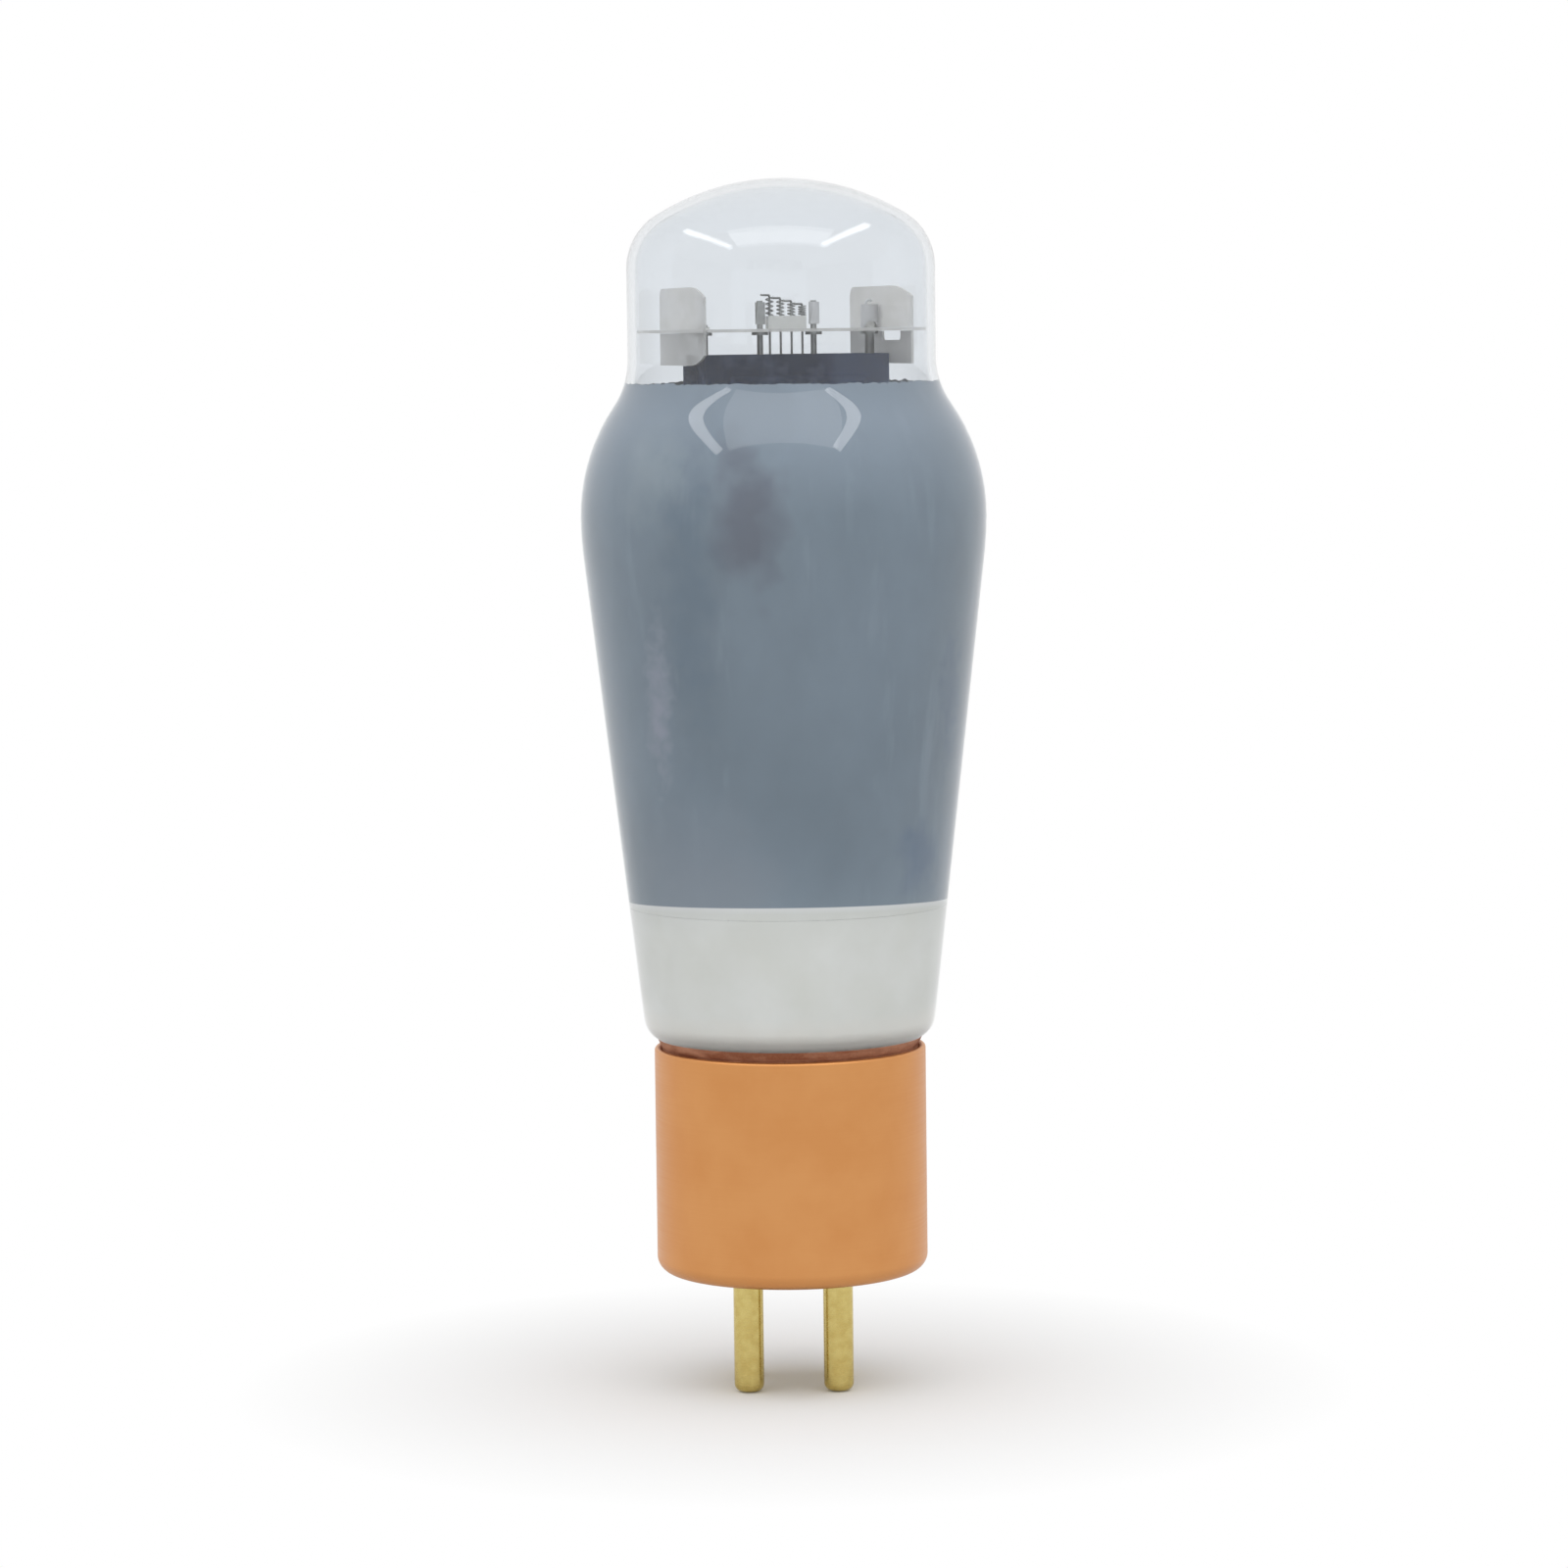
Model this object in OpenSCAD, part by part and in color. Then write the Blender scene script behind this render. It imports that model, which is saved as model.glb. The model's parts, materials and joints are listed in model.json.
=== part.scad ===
// Directly heated power triode: a shouldered glass bulb with a clear dome, a dark coated body
// and a getter mirror in its foot, cemented into a coppered base with four pins.
// Millimetres. Z runs up the axis from the plane of the pin tips, and the two thick
// filament pins stand towards -Y. Heights called a rise are measured up from the base rim.

/* [Base] */
// Outer radius of the base shell
base_r = 18.05; // [16.5:0.05:20]
// Height of the base shell without its pins
base_h = 30.1; // [27:0.1:40]
// Sheet thickness of the base shell
base_wall = 0.9; // [0.6:0.05:1.4]
// Outer radius of the rounded bottom edge
base_corner_r = 2.1; // [1.5:0.1:3.5]
// Width of the lip that is turned in under the wafer
lip_w = 2.6; // [1.5:0.1:4]
// Thickness of the insulating wafer
wafer_h = 2.5; // [1.5:0.1:4]
// Gap between the wafer's edge and the shell
wafer_clear = 0.05; // [0:0.01:0.2]
// Thickness of the cement between the neck and the shell
cement_t = 0.75; // [0.4:0.05:1.5]
// Depth below the base rim at which the cement parts from the shell
cement_drop = 0.8; // [0.5:0.1:2]
// Step of the cement off the shell at the base rim
cement_step = 0.1; // [0.05:0.05:0.15]
// Height above the base rim to which the cement climbs on the glass
cement_climb = 1.3; // [0.8:0.1:1.4]
// Height of the cement ring between the shell and the neck
cement_h = 12; // [6:0.5:14]

/* [Pins] */
// Distance between the pins from left to right
pin_span_x = 11.91; // [10:0.01:14]
// Distance between the thick and the thin pins
pin_span_y = 11.11; // [10:0.01:14]
// Radius of the two thick filament pins
thick_pin_r = 1.98; // [1.7:0.01:2.4]
// Radius of the two thin pins
thin_pin_r = 1.59; // [1.4:0.01:2]
// Length of the pins below the base
pin_len = 15.5; // [12:0.1:20]
// Radius of the bore in the hollow pins
pin_bore_r = 0.8; // [0.6:0.05:1]
// Rounding of the pin tips
pin_tip_round = 1.1; // [0.3:0.05:1.2]
// Width of the flat that is left on a pin tip round its bore
pin_tip_land = 0.08; // [0.05:0.01:0.2]
// Width of the pin flange that sits on the wafer
pin_flange_w = 0.8; // [0.4:0.05:1.2]
// Thickness of the pin flange
pin_flange_h = 0.8; // [0.4:0.05:1.5]
// Step at which a pin narrows where it enters the wafer
pin_shoulder = 0.2; // [0.1:0.05:0.3]
// Depth of the solder in the pin tips
solder_h = 4; // [2.5:0.1:6]
// Height above the tip at which a lead ends in the solder
lead_end_z = 1.5; // [0.5:0.1:2]

/* [Bulb] */
// Height of the glass above the base rim
bulb_h = 114.75; // [110:0.25:125]
// Thickness of the glass wall
glass_t = 1.1; // [0.8:0.05:1.5]
// Radius of the shallow cap on top of the dome
cap_r = 31; // [26:0.5:45]
// Radius of the curve between the cap and the dome's side
crown_r = 8.2; // [6:0.1:12]
// Radius of the clear dome
dome_r = 20.3; // [19.5:0.05:22]
// Radius of the hollow curve under the dome
waist_r = 10.8; // [8:0.1:14]
// Radius of the shoulder's curve
shoulder_r = 25.9; // [20:0.1:30]
// Largest radius of the bulb
bulge_r = 26.8; // [25.5:0.05:29]
// Rise of the widest place
bulge_rise = 70.4; // [66:0.1:74]
// Radius of the curve below the widest place
belly_r = 43; // [30:1:80]
// Angle of the straight taper against the axis
taper_angle = 6.6; // [5:0.1:7.5]
// Rise of the centre of the foot's curve
foot_rise = 4.2; // [3.8:0.1:6]
// Radius of the foot's curve
foot_r = 3.2; // [2.5:0.1:4]
// Radius of the hollow curve that leads into the neck
neck_fillet_r = 3.6; // [2.5:0.1:4.5]
// Depth of the neck's end below the base rim
neck_depth = 16.6; // [14:0.1:18]

/* [Coatings] */
// Thickness of the dark coating
coat_t = 0.12; // [0.05:0.01:0.3]
// Rise of the coating's upper edge
coat_top_rise = 88.1; // [80:0.1:92]
// Rise of the coating's lower edge
coat_foot_rise = 18.9; // [12:0.1:30]
// Thickness of the getter mirror
mirror_t = 0.08; // [0.05:0.01:0.3]
// Height of the clear line between the coating and the mirror
mirror_gap = 0.35; // [0.1:0.05:1]
// Rise of the mirror's lower edge
mirror_foot_rise = 1.0; // [0.5:0.1:3]

/* [Stem] */
// Outer radius of the stem tube
stem_r = 7.5; // [7:0.1:8]
// Wall of the stem tube and its flare
stem_t = 1.1; // [0.8:0.05:1.3]
// Rise of the bottom of the press
press_rise = 11; // [8:0.1:14]
// Height of the press
press_h = 11; // [8:0.1:12]
// Half of the press width between its round edges
press_half_w = 7.4; // [7.1:0.1:8.5]
// Thickness of the press
press_t = 3.2; // [2.6:0.1:4.5]
// Outer radius of the exhaust tube
exhaust_r = 2.2; // [1.8:0.05:2.3]
// Wall of the exhaust tube
exhaust_t = 0.7; // [0.5:0.05:0.9]
// Length of the exhaust tube above its sealed tip
exhaust_len = 22; // [15:0.5:25]
// Height of the sealed tip of the exhaust tube
exhaust_tip_h = 3; // [1:0.1:3.5]
// Radius at the end of the sealed tip
exhaust_tip_r = 0.6; // [0.3:0.1:1.2]
// Radius of the pumping hole across the press
pump_hole_r = 0.7; // [0.4:0.05:1]

/* [Leads] */
// Radius of the filament and grid leads
lead_r = 0.4; // [0.3:0.05:0.45]
// Radius of the anode lead and the anode leg
leg_r = 0.5; // [0.4:0.05:0.55]
// Place of the filament leads in the press, from its centre
filament_lead_x = 2.9; // [2.85:0.05:3.2]
// Place of the grid and anode leads in the press
outer_lead_x = 4.9; // [4.6:0.05:5.2]
// Place of the anode leg in the press
leg_x = 7; // [6.6:0.1:7.4]
// Depth of the anode leg in the press
leg_seat = 6; // [3:0.5:7]
// Bend radius of the leads
lead_bend = 1.5; // [1:0.1:2]
// Straight length of the leads above their pins
lead_straight = 3; // [2:0.1:5]
// Height above the neck's end at which the leads turn up into the press
lead_turn = 7; // [5.5:0.1:9]
// Straight length of the leads above the press
lead_rise = 2; // [1.5:0.1:3]
// Straight length of the leads below the anode rods
lead_join = 1.5; // [1:0.1:2]

/* [Cage] */
// Angle by which the electrode cage stands turned to the pins
cage_turn = 15; // [0:1:30]
// Offset of the electrode cage from the bulb's axis
cage_shift = 0.7; // [0:0.05:0.8]
// Rise of the underside of the top mica
top_mica_rise = 94.6; // [91:0.1:95]
// Distance between the micas
cage_h = 58.6; // [52:0.1:60]
// Thickness of the micas
mica_t = 0.4; // [0.3:0.05:0.8]
// Gap between the top mica's edge and the glass
mica_clear = 0.15; // [0.05:0.01:0.4]
// Radius of the bottom mica
bottom_mica_r = 16; // [14.6:0.1:18]
// Gap round a wire in its hole
hole_clear = 0.04; // [0.02:0.01:0.1]
// Gap between a standing mica plate and the anode's side with its flange's slope
fin_gap = 0.15; // [0.1:0.05:0.6]
// Gap between the mica plates and the upper ends of the anode's left flanges
fin_seat = 0.05; // [0.02:0.01:0.2]
// Height of the mica plates above the top mica
fin_up = 5.5; // [5:0.1:8]
// Thickness of the mica plates
fin_t = 0.3; // [0.2:0.05:0.5]
// Corner radius of the mica plates
fin_corner_r = 1.6; // [0.8:0.1:2.2]
// Length of the shallow curves at two corners of the mica plates
fin_curve_len = 8; // [5:0.5:10]
// Height of the shallow curves
fin_curve_h = 1.4; // [0.6:0.1:1.6]
// Distance from the middle of the right mica plate to its opening under the disc
fin_opening_x = 1.7; // [1:0.1:2.5]
// Length of the opening in the right mica plate
fin_opening_len = 7.7; // [5:0.1:8.5]
// Height of the opening below the disc
fin_opening_h = 1.2; // [0.6:0.1:1.5]

/* [Anode] */
// Width of the anode box
anode_w = 24.8; // [24.2:0.1:25.2]
// Depth of the anode box
anode_d = 10.6; // [7:0.1:12]
// Gap between the anode and each mica
anode_gap = 3; // [2:0.1:3.4]
// Sheet thickness of the anode
anode_t = 0.25; // [0.15:0.01:0.35]
// Width of the side flanges
flange_w = 1.6; // [1.4:0.1:2.4]
// Distance from the anode's ends to the ends of its left flanges
flange_drop = 1.4; // [0.9:0.1:2.5]
// Distance from the anode's ends to the ends of its right flanges
flange_right_drop = 3.6; // [3:0.1:5]
// Size of the slope from the end of a flange to the anode's side
flange_slope = 0.8; // [0.4:0.1:0.8]
// Number of stiffening beads on each face
bead_count = 7; // [3:1:9]
// Radius of the stiffening beads
bead_r = 1; // [0.6:0.05:1.3]
// Distance of a bead's axis behind the face
bead_sink = 0.4; // [0.2:0.05:0.5]
// Length of the stiffening beads between their round ends
bead_len = 17; // [10:0.5:19]
// Gap between an anode rod and the side of the anode
rod_gap = 0.15; // [0.02:0.01:0.3]
// Radius of the anode rods
rod_r = 0.65; // [0.5:0.05:0.7]
// Length of the anode rods below the bottom mica
rod_tail = 3.3; // [2:0.1:5]
// Outer radius of the washers under the micas
washer_r = 1.2; // [1:0.05:1.5]
// Outer radius of the washers on the grid posts
post_washer_r = 1.1; // [0.7:0.05:1.15]
// Thickness of the washers
washer_h = 0.4; // [0.2:0.05:0.8]
// Outer radius of the ceramic beads on the top mica
insulator_r = 0.9; // [0.8:0.05:0.95]
// Height of the ceramic bead on the right rod
insulator_h = 0.9; // [0.6:0.1:1.4]
// Height of the ceramic bead on the left rod
left_insulator_h = 0.3; // [0.2:0.05:1]
// Outer radius of the ferrule on the right rod
ferrule_r = 1.15; // [1.1:0.05:1.4]
// Height of the ferrule
ferrule_h = 3.1; // [2.6:0.1:3.8]
// Thickness of the ferrule's closed top
ferrule_top = 0.6; // [0.4:0.1:1]
// Radius of the arch across the ferrule's foot
ferrule_arch_r = 0.85; // [0.55:0.1:0.85]
// Radius of the hook on the ferrule
curl_r = 0.45; // [0.4:0.05:0.55]
// Height of the hook's centre above the ferrule
curl_lift = 0.1; // [0:0.05:0.15]
// Angle through which the ferrule's hook is bent above its centre
curl_angle = 145; // [120:5:155]
// Length of the left rod above its ceramic bead
rod_head = 0.3; // [0.1:0.1:1]

/* [Grid] */
// Distance of the grid posts from the centre
post_x = 3.66; // [3.55:0.01:4]
// Radius of the grid posts
post_r = 0.4; // [0.3:0.01:0.45]
// Length of the grid posts above the top mica
post_up = 3.7; // [3.4:0.1:4.5]
// Length of the grid posts below the bottom mica
post_down = 1.3; // [1:0.1:1.6]
// Radius of the grid wire
grid_wire_r = 0.06; // [0.04:0.01:0.1]
// Pitch of the grid winding
grid_pitch = 1.6; // [1.2:0.1:3]
// Gap between the grid wire and its posts
grid_seat = 0.02; // [0.01:0.01:0.05]
// Distance from each end of the anode to the winding
grid_margin = 3.4; // [3:0.1:6]
// Height of the cooling vanes
vane_h = 2.9; // [2:0.1:3]
// Width of the right cooling vane at its lower edge
vane_w = 1.3; // [1:0.1:1.8]
// Width of the left cooling vane at its lower edge
vane_left_w = 1.2; // [1:0.1:1.8]
// Width of the right cooling vane at its upper edge
vane_top_w = 0.6; // [0.4:0.1:1]
// Width of the left cooling vane at its upper edge
vane_left_top_w = 1; // [0.6:0.1:1]
// Distance from the top of a post down to its vane
vane_drop = 0.2; // [0:0.1:0.4]
// Sheet thickness of the cooling vanes
vane_t = 0.2; // [0.1:0.01:0.22]

/* [Filament] */
// Distance between neighbouring filament hooks
hook_pitch = 1.48; // [1.42:0.01:1.5]
// Radius of the hook wire
hook_r = 0.15; // [0.1:0.01:0.16]
// Radius of the filament
filament_r = 0.1; // [0.07:0.01:0.11]
// Gap between a hook and the filament bend that it holds
hook_clear = 0.05; // [0.03:0.01:0.06]
// Bend radius of the hooks, which is their distance from the filament's plane
hook_bend = 0.35; // [0.32:0.01:0.4]
// Distance from the anode's top down to the upper filament bends
filament_top_drop = 1.4; // [1:0.1:1.8]
// Distance from the anode's bottom up to the lower filament bends
filament_foot_lift = 0.6; // [0.4:0.1:1]
// Height above the bottom mica at which the filament leads end
filament_lead_up = 1.2; // [0.8:0.1:1.6]
// Height of the bar under the springs
bar_h = 1.7; // [1:0.1:2.2]
// Width of the bar from left to right
bar_w = 5.2; // [5.1:0.1:5.7]
// Thickness of the bar from front to back
bar_t = 1.4; // [1.3:0.1:2]
// Height of the leftmost spring
spring_h = 2.6; // [2.4:0.1:3.2]
// Drop in height from one spring to the next
spring_drop = 0.4; // [0:0.02:0.5]
// Middle radius of the springs
spring_r = 0.48; // [0.4:0.01:0.5]
// Radius of the spring wire
spring_wire_r = 0.1; // [0.08:0.01:0.12]
// Turns of a spring
spring_turns = 4; // [3:1:5]
// Length of the hook ends that lie over the springs
hook_end = 1.7; // [1.2:0.1:1.8]
// Angle of the hook ends to the row of hooks
hook_end_angle = 35; // [30:1:60]
// Bend radius at the top of a hook
hook_top_bend = 0.25; // [0.2:0.01:0.3]
// Length of the anchor feet under the bottom mica
anchor_foot = 1.2; // [0.8:0.1:2]

/* [Getter] */
// Middle radius of the getter ring
getter_r = 3.2; // [2.5:0.1:4]
// Width of the getter channel
getter_w = 1.4; // [1:0.1:1.6]
// Height of the getter channel
getter_h = 1; // [0.8:0.1:1.4]
// Sheet thickness of the getter channel
getter_t = 0.2; // [0.1:0.01:0.3]
// Distance of the getter's centre in front of the cage
getter_y = 11.2; // [10:0.1:12]
// Depth of the getter below the bottom mica
getter_drop = 6; // [4:0.1:9]
// Radius of the getter wire
getter_wire_r = 0.3; // [0.2:0.05:0.4]
// Length of the getter wire that lies on the bottom mica
getter_wire_end = 2; // [1:0.1:2.5]

/* [Hidden] */
$fn = 48;

// Colours as the photograph shows them
GLASS = [0.87, 0.90, 0.92, 0.35];
COAT = [0.42, 0.46, 0.51];
MIRROR = [0.80, 0.80, 0.78];
COPPER = [0.80, 0.55, 0.34];
BRASS = [0.76, 0.68, 0.42];
NICKEL = [0.60, 0.60, 0.59];
CARBON = [0.22, 0.25, 0.31];
MICA = [0.74, 0.73, 0.70, 0.7];
CERAMIC = [0.88, 0.87, 0.84];
CEMENT = [0.36, 0.16, 0.06];

// Angle between two neighbouring points of a turned outline's curves
ARC_STEP = 4;
// Largest angle between two neighbouring rings of a bent lead, and sides of its outline
LEAD_STEP = 10;
LEAD_SIDES = 8;
// Sides of a coiled wire's outline, and its steps in a half turn
WIRE_SIDES = 5;
COIL_STEPS = 5;
// Fineness of the wide round pieces and of the small round wires
FINE = 96;
COARSE = 24;
// Length by which a cutting shape runs past the surface that it cuts
CUT = 1;
// Shortest stretch of wire that is drawn
MIN_STRETCH = 0.001;

// Base
base_foot_z = pin_len;
rim_z = base_foot_z + base_h;
base_inner_r = base_r - base_wall;
wafer_z = base_foot_z + base_wall;
wafer_top_z = wafer_z + wafer_h;
neck_r = base_inner_r - cement_t;
seal_z = rim_z - neck_depth;

// Cage
top_mica_z = rim_z + top_mica_rise;
top_mica_top_z = top_mica_z + mica_t;
bottom_mica_z = top_mica_z - cage_h - mica_t;
bottom_mica_top_z = bottom_mica_z + mica_t;
anode_top_z = top_mica_z - anode_gap;
anode_foot_z = bottom_mica_top_z + anode_gap;
anode_h = anode_top_z - anode_foot_z;
rod_foot_z = bottom_mica_z - rod_tail;
rod_x = anode_w / 2 - anode_t - rod_gap - rod_r;
fin_x = anode_w / 2 + max(flange_slope, cage_shift) + fin_gap + fin_t / 2;
fin_foot_z = anode_top_z - flange_drop + fin_seat;
fin_top_z = top_mica_top_z + fin_up;

// Filament
upper_bend_r = filament_r + hook_clear + hook_r;
lower_bend_r = hook_pitch / 2 - upper_bend_r;
filament_top_z = anode_top_z - filament_top_drop;
filament_foot_z = anode_foot_z + filament_foot_lift;
filament_end_z = bottom_mica_top_z + filament_lead_up;
HOOKS = 4;
filament_end_x = hook_x(HOOKS - 1) + upper_bend_r;
bar_top_z = top_mica_top_z + bar_h;

// Stem
press_z = rim_z + press_rise;
press_top_z = press_z + press_h;
flare_r = neck_r - glass_t - stem_r;
flare_z = seal_z + stem_t + flare_r;

// Leads, from the press to the pins and to the cage
lead_turn_z = seal_z + lead_turn;
lead_pin_z = wafer_top_z + pin_flange_h + lead_straight;
lead_rise_z = press_top_z + lead_rise;
lead_join_z = rod_foot_z - lead_join;

function hook_x(i) = (i - (HOOKS - 1) / 2) * hook_pitch;
function anchor_x(i) = (hook_x(i) + hook_x(i + 1)) / 2;
function spring_height(i) = spring_h - i * spring_drop;
function hook_top_z(i) = bar_top_z + spring_height(i) + hook_r;
function pin_place(side_x, side_y) = [side_x * pin_span_x / 2, side_y * pin_span_y / 2];
function in_cage_xy(x) = [cage_shift + x * cos(cage_turn), x * sin(cage_turn)];
function at_height(p, z) = [p[0], p[1], z];
function unit(v) = v / norm(v);

// Points of an arc round [cx, cz], without its first point where skip is 1
function arc_points(cx, cz, r, from, to, skip = 1) =
    let (n = max(1, ceil(abs(to - from) / ARC_STEP)))
    [for (i = [skip:n]) let (a = from + (to - from) * i / n) [cx + r * cos(a), cz + r * sin(a)]];

// Bulb outline as tangent arcs from the top of the dome down to the end of the neck
cap_z = rim_z + bulb_h - cap_r;
crown_x = dome_r - crown_r;
crown_z = cap_z + sqrt(pow(cap_r - crown_r, 2) - pow(crown_x, 2));
cap_angle = atan2(crown_z - cap_z, crown_x);
bulge_z = rim_z + bulge_rise;
waist_x = dome_r + waist_r;
shoulder_x = bulge_r - shoulder_r;
waist_z = bulge_z + sqrt(pow(waist_r + shoulder_r, 2) - pow(waist_x - shoulder_x, 2));
waist_angle = atan2(waist_z - bulge_z, waist_x - shoulder_x);
belly_x = bulge_r - belly_r;
foot_z = rim_z + foot_rise;
taper_top = [belly_x + belly_r * cos(taper_angle), bulge_z - belly_r * sin(taper_angle)];
taper_foot_z = foot_z - foot_r * sin(taper_angle);
taper_foot_x = taper_top[0] - (taper_top[1] - taper_foot_z) * tan(taper_angle);
foot_x = taper_foot_x - foot_r * cos(taper_angle);
fillet_x = neck_r + neck_fillet_r;
fillet_z = foot_z - sqrt(pow(foot_r + neck_fillet_r, 2) - pow(fillet_x - foot_x, 2));
foot_angle = atan2(foot_z - fillet_z, fillet_x - foot_x);

// Points [radius, height] of the bulb's outline, moved inwards by inset
function bulb_line(inset) = concat(
    arc_points(0, cap_z, cap_r - inset, 90, cap_angle, 0),
    arc_points(crown_x, crown_z, crown_r - inset, cap_angle, 0),
    arc_points(waist_x, waist_z, waist_r + inset, 180, 180 + waist_angle, 0),
    arc_points(shoulder_x, bulge_z, shoulder_r - inset, waist_angle, 0),
    arc_points(belly_x, bulge_z, belly_r - inset, 0, -taper_angle),
    arc_points(foot_x, foot_z, foot_r - inset, -taper_angle, -foot_angle, 0),
    arc_points(fillet_x, fillet_z, neck_fillet_r + inset, 180 - foot_angle, 180),
    [[neck_r - inset, seal_z]]);

// Radius of the bulb at a height below its dome
function bulb_r_at(z, inset) = lookup(z, [for (p = bulb_line(inset)) [p[1], p[0]]]);

// The stretch of the bulb's outline between two heights
function bulb_stretch(inset, low, high) = concat(
    [[bulb_r_at(high, inset), high]],
    [for (p = bulb_line(inset)) if (p[1] < high - MIN_STRETCH && p[1] > low + MIN_STRETCH) p],
    [[bulb_r_at(low, inset), low]]);

function backwards(list) = [for (i = [len(list) - 1:-1:0]) list[i]];
function mirrored(list) = backwards([for (p = list) [-p[0], p[1]]]);

// A film of thickness t on the inside of the bulb between two heights
module wall_film(t, low, high) {
    rotate_extrude()
        polygon(concat(bulb_stretch(glass_t, low, high),
            backwards(bulb_stretch(glass_t + t, low, high))));
}

// The cage's own place: turned to the pins and a little off the axis
module turned() {
    rotate([0, 0, cage_turn]) children();
}

module in_cage() {
    translate([cage_shift, 0, 0]) turned() children();
}

// A straight stretch of round wire
module stretch(from, to, r) {
    d = to - from;
    translate(from)
        rotate([0, acos(d[2] / norm(d)), atan2(d[1], d[0])])
            cylinder(h = norm(d), r = r);
}

// A bend of round wire: it starts at c - bend * inward, along the direction ahead
module elbow(c, inward, ahead, bend, r, angle) {
    x = -inward;
    z = cross(x, ahead);
    multmatrix([[x[0], ahead[0], z[0], c[0]],
                [x[1], ahead[1], z[1], c[1]],
                [x[2], ahead[2], z[2], c[2]]])
        rotate_extrude(angle = angle)
            translate([bend, 0]) circle(r = r, $fn = COARSE);
}

// A round wire through the points p, with a bend of its own radius at each inner point
module bent_wire(p, r, bends) {
    last = len(p) - 1;
    dir = [for (i = [0:last - 1]) unit(p[i + 1] - p[i])];
    angle = [for (i = [0:last]) i == 0 || i == last ? 0 : acos(min(1, dir[i - 1] * dir[i]))];
    bend = [for (i = [0:last]) is_num(bends) ? bends : bends[max(0, min(i - 1, last - 2))]];
    trim = [for (i = [0:last]) bend[i] * tan(angle[i] / 2)];
    for (i = [0:last - 1]) {
        from = p[i] + dir[i] * trim[i];
        to = p[i + 1] - dir[i] * trim[i + 1];
        if ((to - from) * dir[i] > MIN_STRETCH)
            stretch(from, to, r, $fn = COARSE);
    }
    for (i = [1:1:last - 1]) {
        if (trim[i] > 0) {
            inward = unit(dir[i] - dir[i - 1] * (dir[i] * dir[i - 1]));
            elbow(p[i] - dir[i - 1] * trim[i] + inward * bend[i], inward, dir[i - 1], bend[i], r,
                angle[i]);
        }
    }
}

// A round wire swept along a path, with flat ends; side is a direction that the path never takes
module swept_wire(path, r, sides, side) {
    n = len(path);
    points = [for (i = [0:n - 1])
        let (t = unit(path[min(i + 1, n - 1)] - path[max(i - 1, 0)]),
             across = unit(cross(side, t)),
             up = cross(t, across))
        for (k = [0:sides - 1])
            let (a = 360 * k / sides) path[i] + r * (cos(a) * across + sin(a) * up)];
    walls = [for (i = [0:n - 2]) for (k = [0:sides - 1])
        let (a = i * sides + k, b = i * sides + (k + 1) % sides)
        each [[a, a + sides, b + sides], [a, b + sides, b]]];
    ends = [[for (k = [0:sides - 1]) k], [for (k = [sides - 1:-1:0]) (n - 1) * sides + k]];
    polyhedron(points = points, faces = concat(walls, ends), convexity = 10);
}

// The path p with an arc of radius bend in place of each inner point
function rounded_path(p, bend) = [for (i = [0:len(p) - 1])
    let (u = unit(p[i] - p[max(i - 1, 0)]), v = unit(p[min(i + 1, len(p) - 1)] - p[i]))
    each i == 0 || i == len(p) - 1 || norm(u - v) < MIN_STRETCH ? [p[i]] :
        let (turn = acos(u * v), trim = bend * tan(turn / 2), inward = unit(v - u * (u * v)),
             n = ceil(turn / LEAD_STEP))
        [for (k = [0:n]) p[i] - u * trim
            + bend * ((1 - cos(turn * k / n)) * inward + sin(turn * k / n) * u)]];

// A lead along its route
module lead(route, r) {
    swept_wire(rounded_path(route, lead_bend), r, LEAD_SIDES, [0, 1, 0]);
}

module glass_bulb() {
    color(GLASS)
        rotate_extrude()
            polygon(concat(bulb_line(0), backwards(bulb_line(glass_t))));
}

module dark_coating() {
    color(COAT) wall_film(coat_t, rim_z + coat_foot_rise, rim_z + coat_top_rise);
}

module getter_mirror() {
    color(MIRROR)
        wall_film(mirror_t, rim_z + mirror_foot_rise, rim_z + coat_foot_rise - mirror_gap);
}

// Flare, tube and closed top of the stem, as a turned outline moved inwards by inset
module stem_body(inset) {
    r = stem_r - inset;
    top_z = press_z + press_h / 2 - inset;
    rotate_extrude()
        polygon(concat(
            [[0, seal_z - (inset > 0 ? CUT : 0)]],
            inset > 0 ? [[stem_r + flare_r, seal_z - CUT]] : [],
            [[stem_r + flare_r, seal_z]],
            arc_points(stem_r + flare_r, flare_z, flare_r + inset, 270, 180, inset > 0 ? 1 : 0),
            arc_points(0, top_z - r, r, 0, 90, 0)));
}

module glass_stem() {
    tip_top_z = press_z + exhaust_r - exhaust_len;
    color(GLASS)
        difference() {
            union() {
                difference() {
                    stem_body(0);
                    stem_body(stem_t);
                }
                in_cage() {
                    press();
                    translate([0, 0, tip_top_z]) cylinder(h = exhaust_len, r = exhaust_r);
                    translate([0, 0, tip_top_z - exhaust_tip_h])
                        cylinder(h = exhaust_tip_h, r1 = exhaust_tip_r, r2 = exhaust_r);
                }
            }
            in_cage() {
                translate([0, 0, tip_top_z + exhaust_t])
                    cylinder(h = exhaust_len - exhaust_t, r = exhaust_r - exhaust_t);
                translate([0, -press_t, tip_top_z + exhaust_len]) rotate([-90, 0, 0])
                    cylinder(h = 2 * press_t, r = pump_hole_r);
                lead_holes();
            }
        }
}

// The pinched glass that holds the wires, with round edges
module press() {
    translate([-press_half_w, -press_t / 2, press_z]) cube([2 * press_half_w, press_t, press_h]);
    for (side = [-1, 1])
        translate([side * press_half_w, 0, press_z]) cylinder(h = press_h, r = press_t / 2);
}

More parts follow.
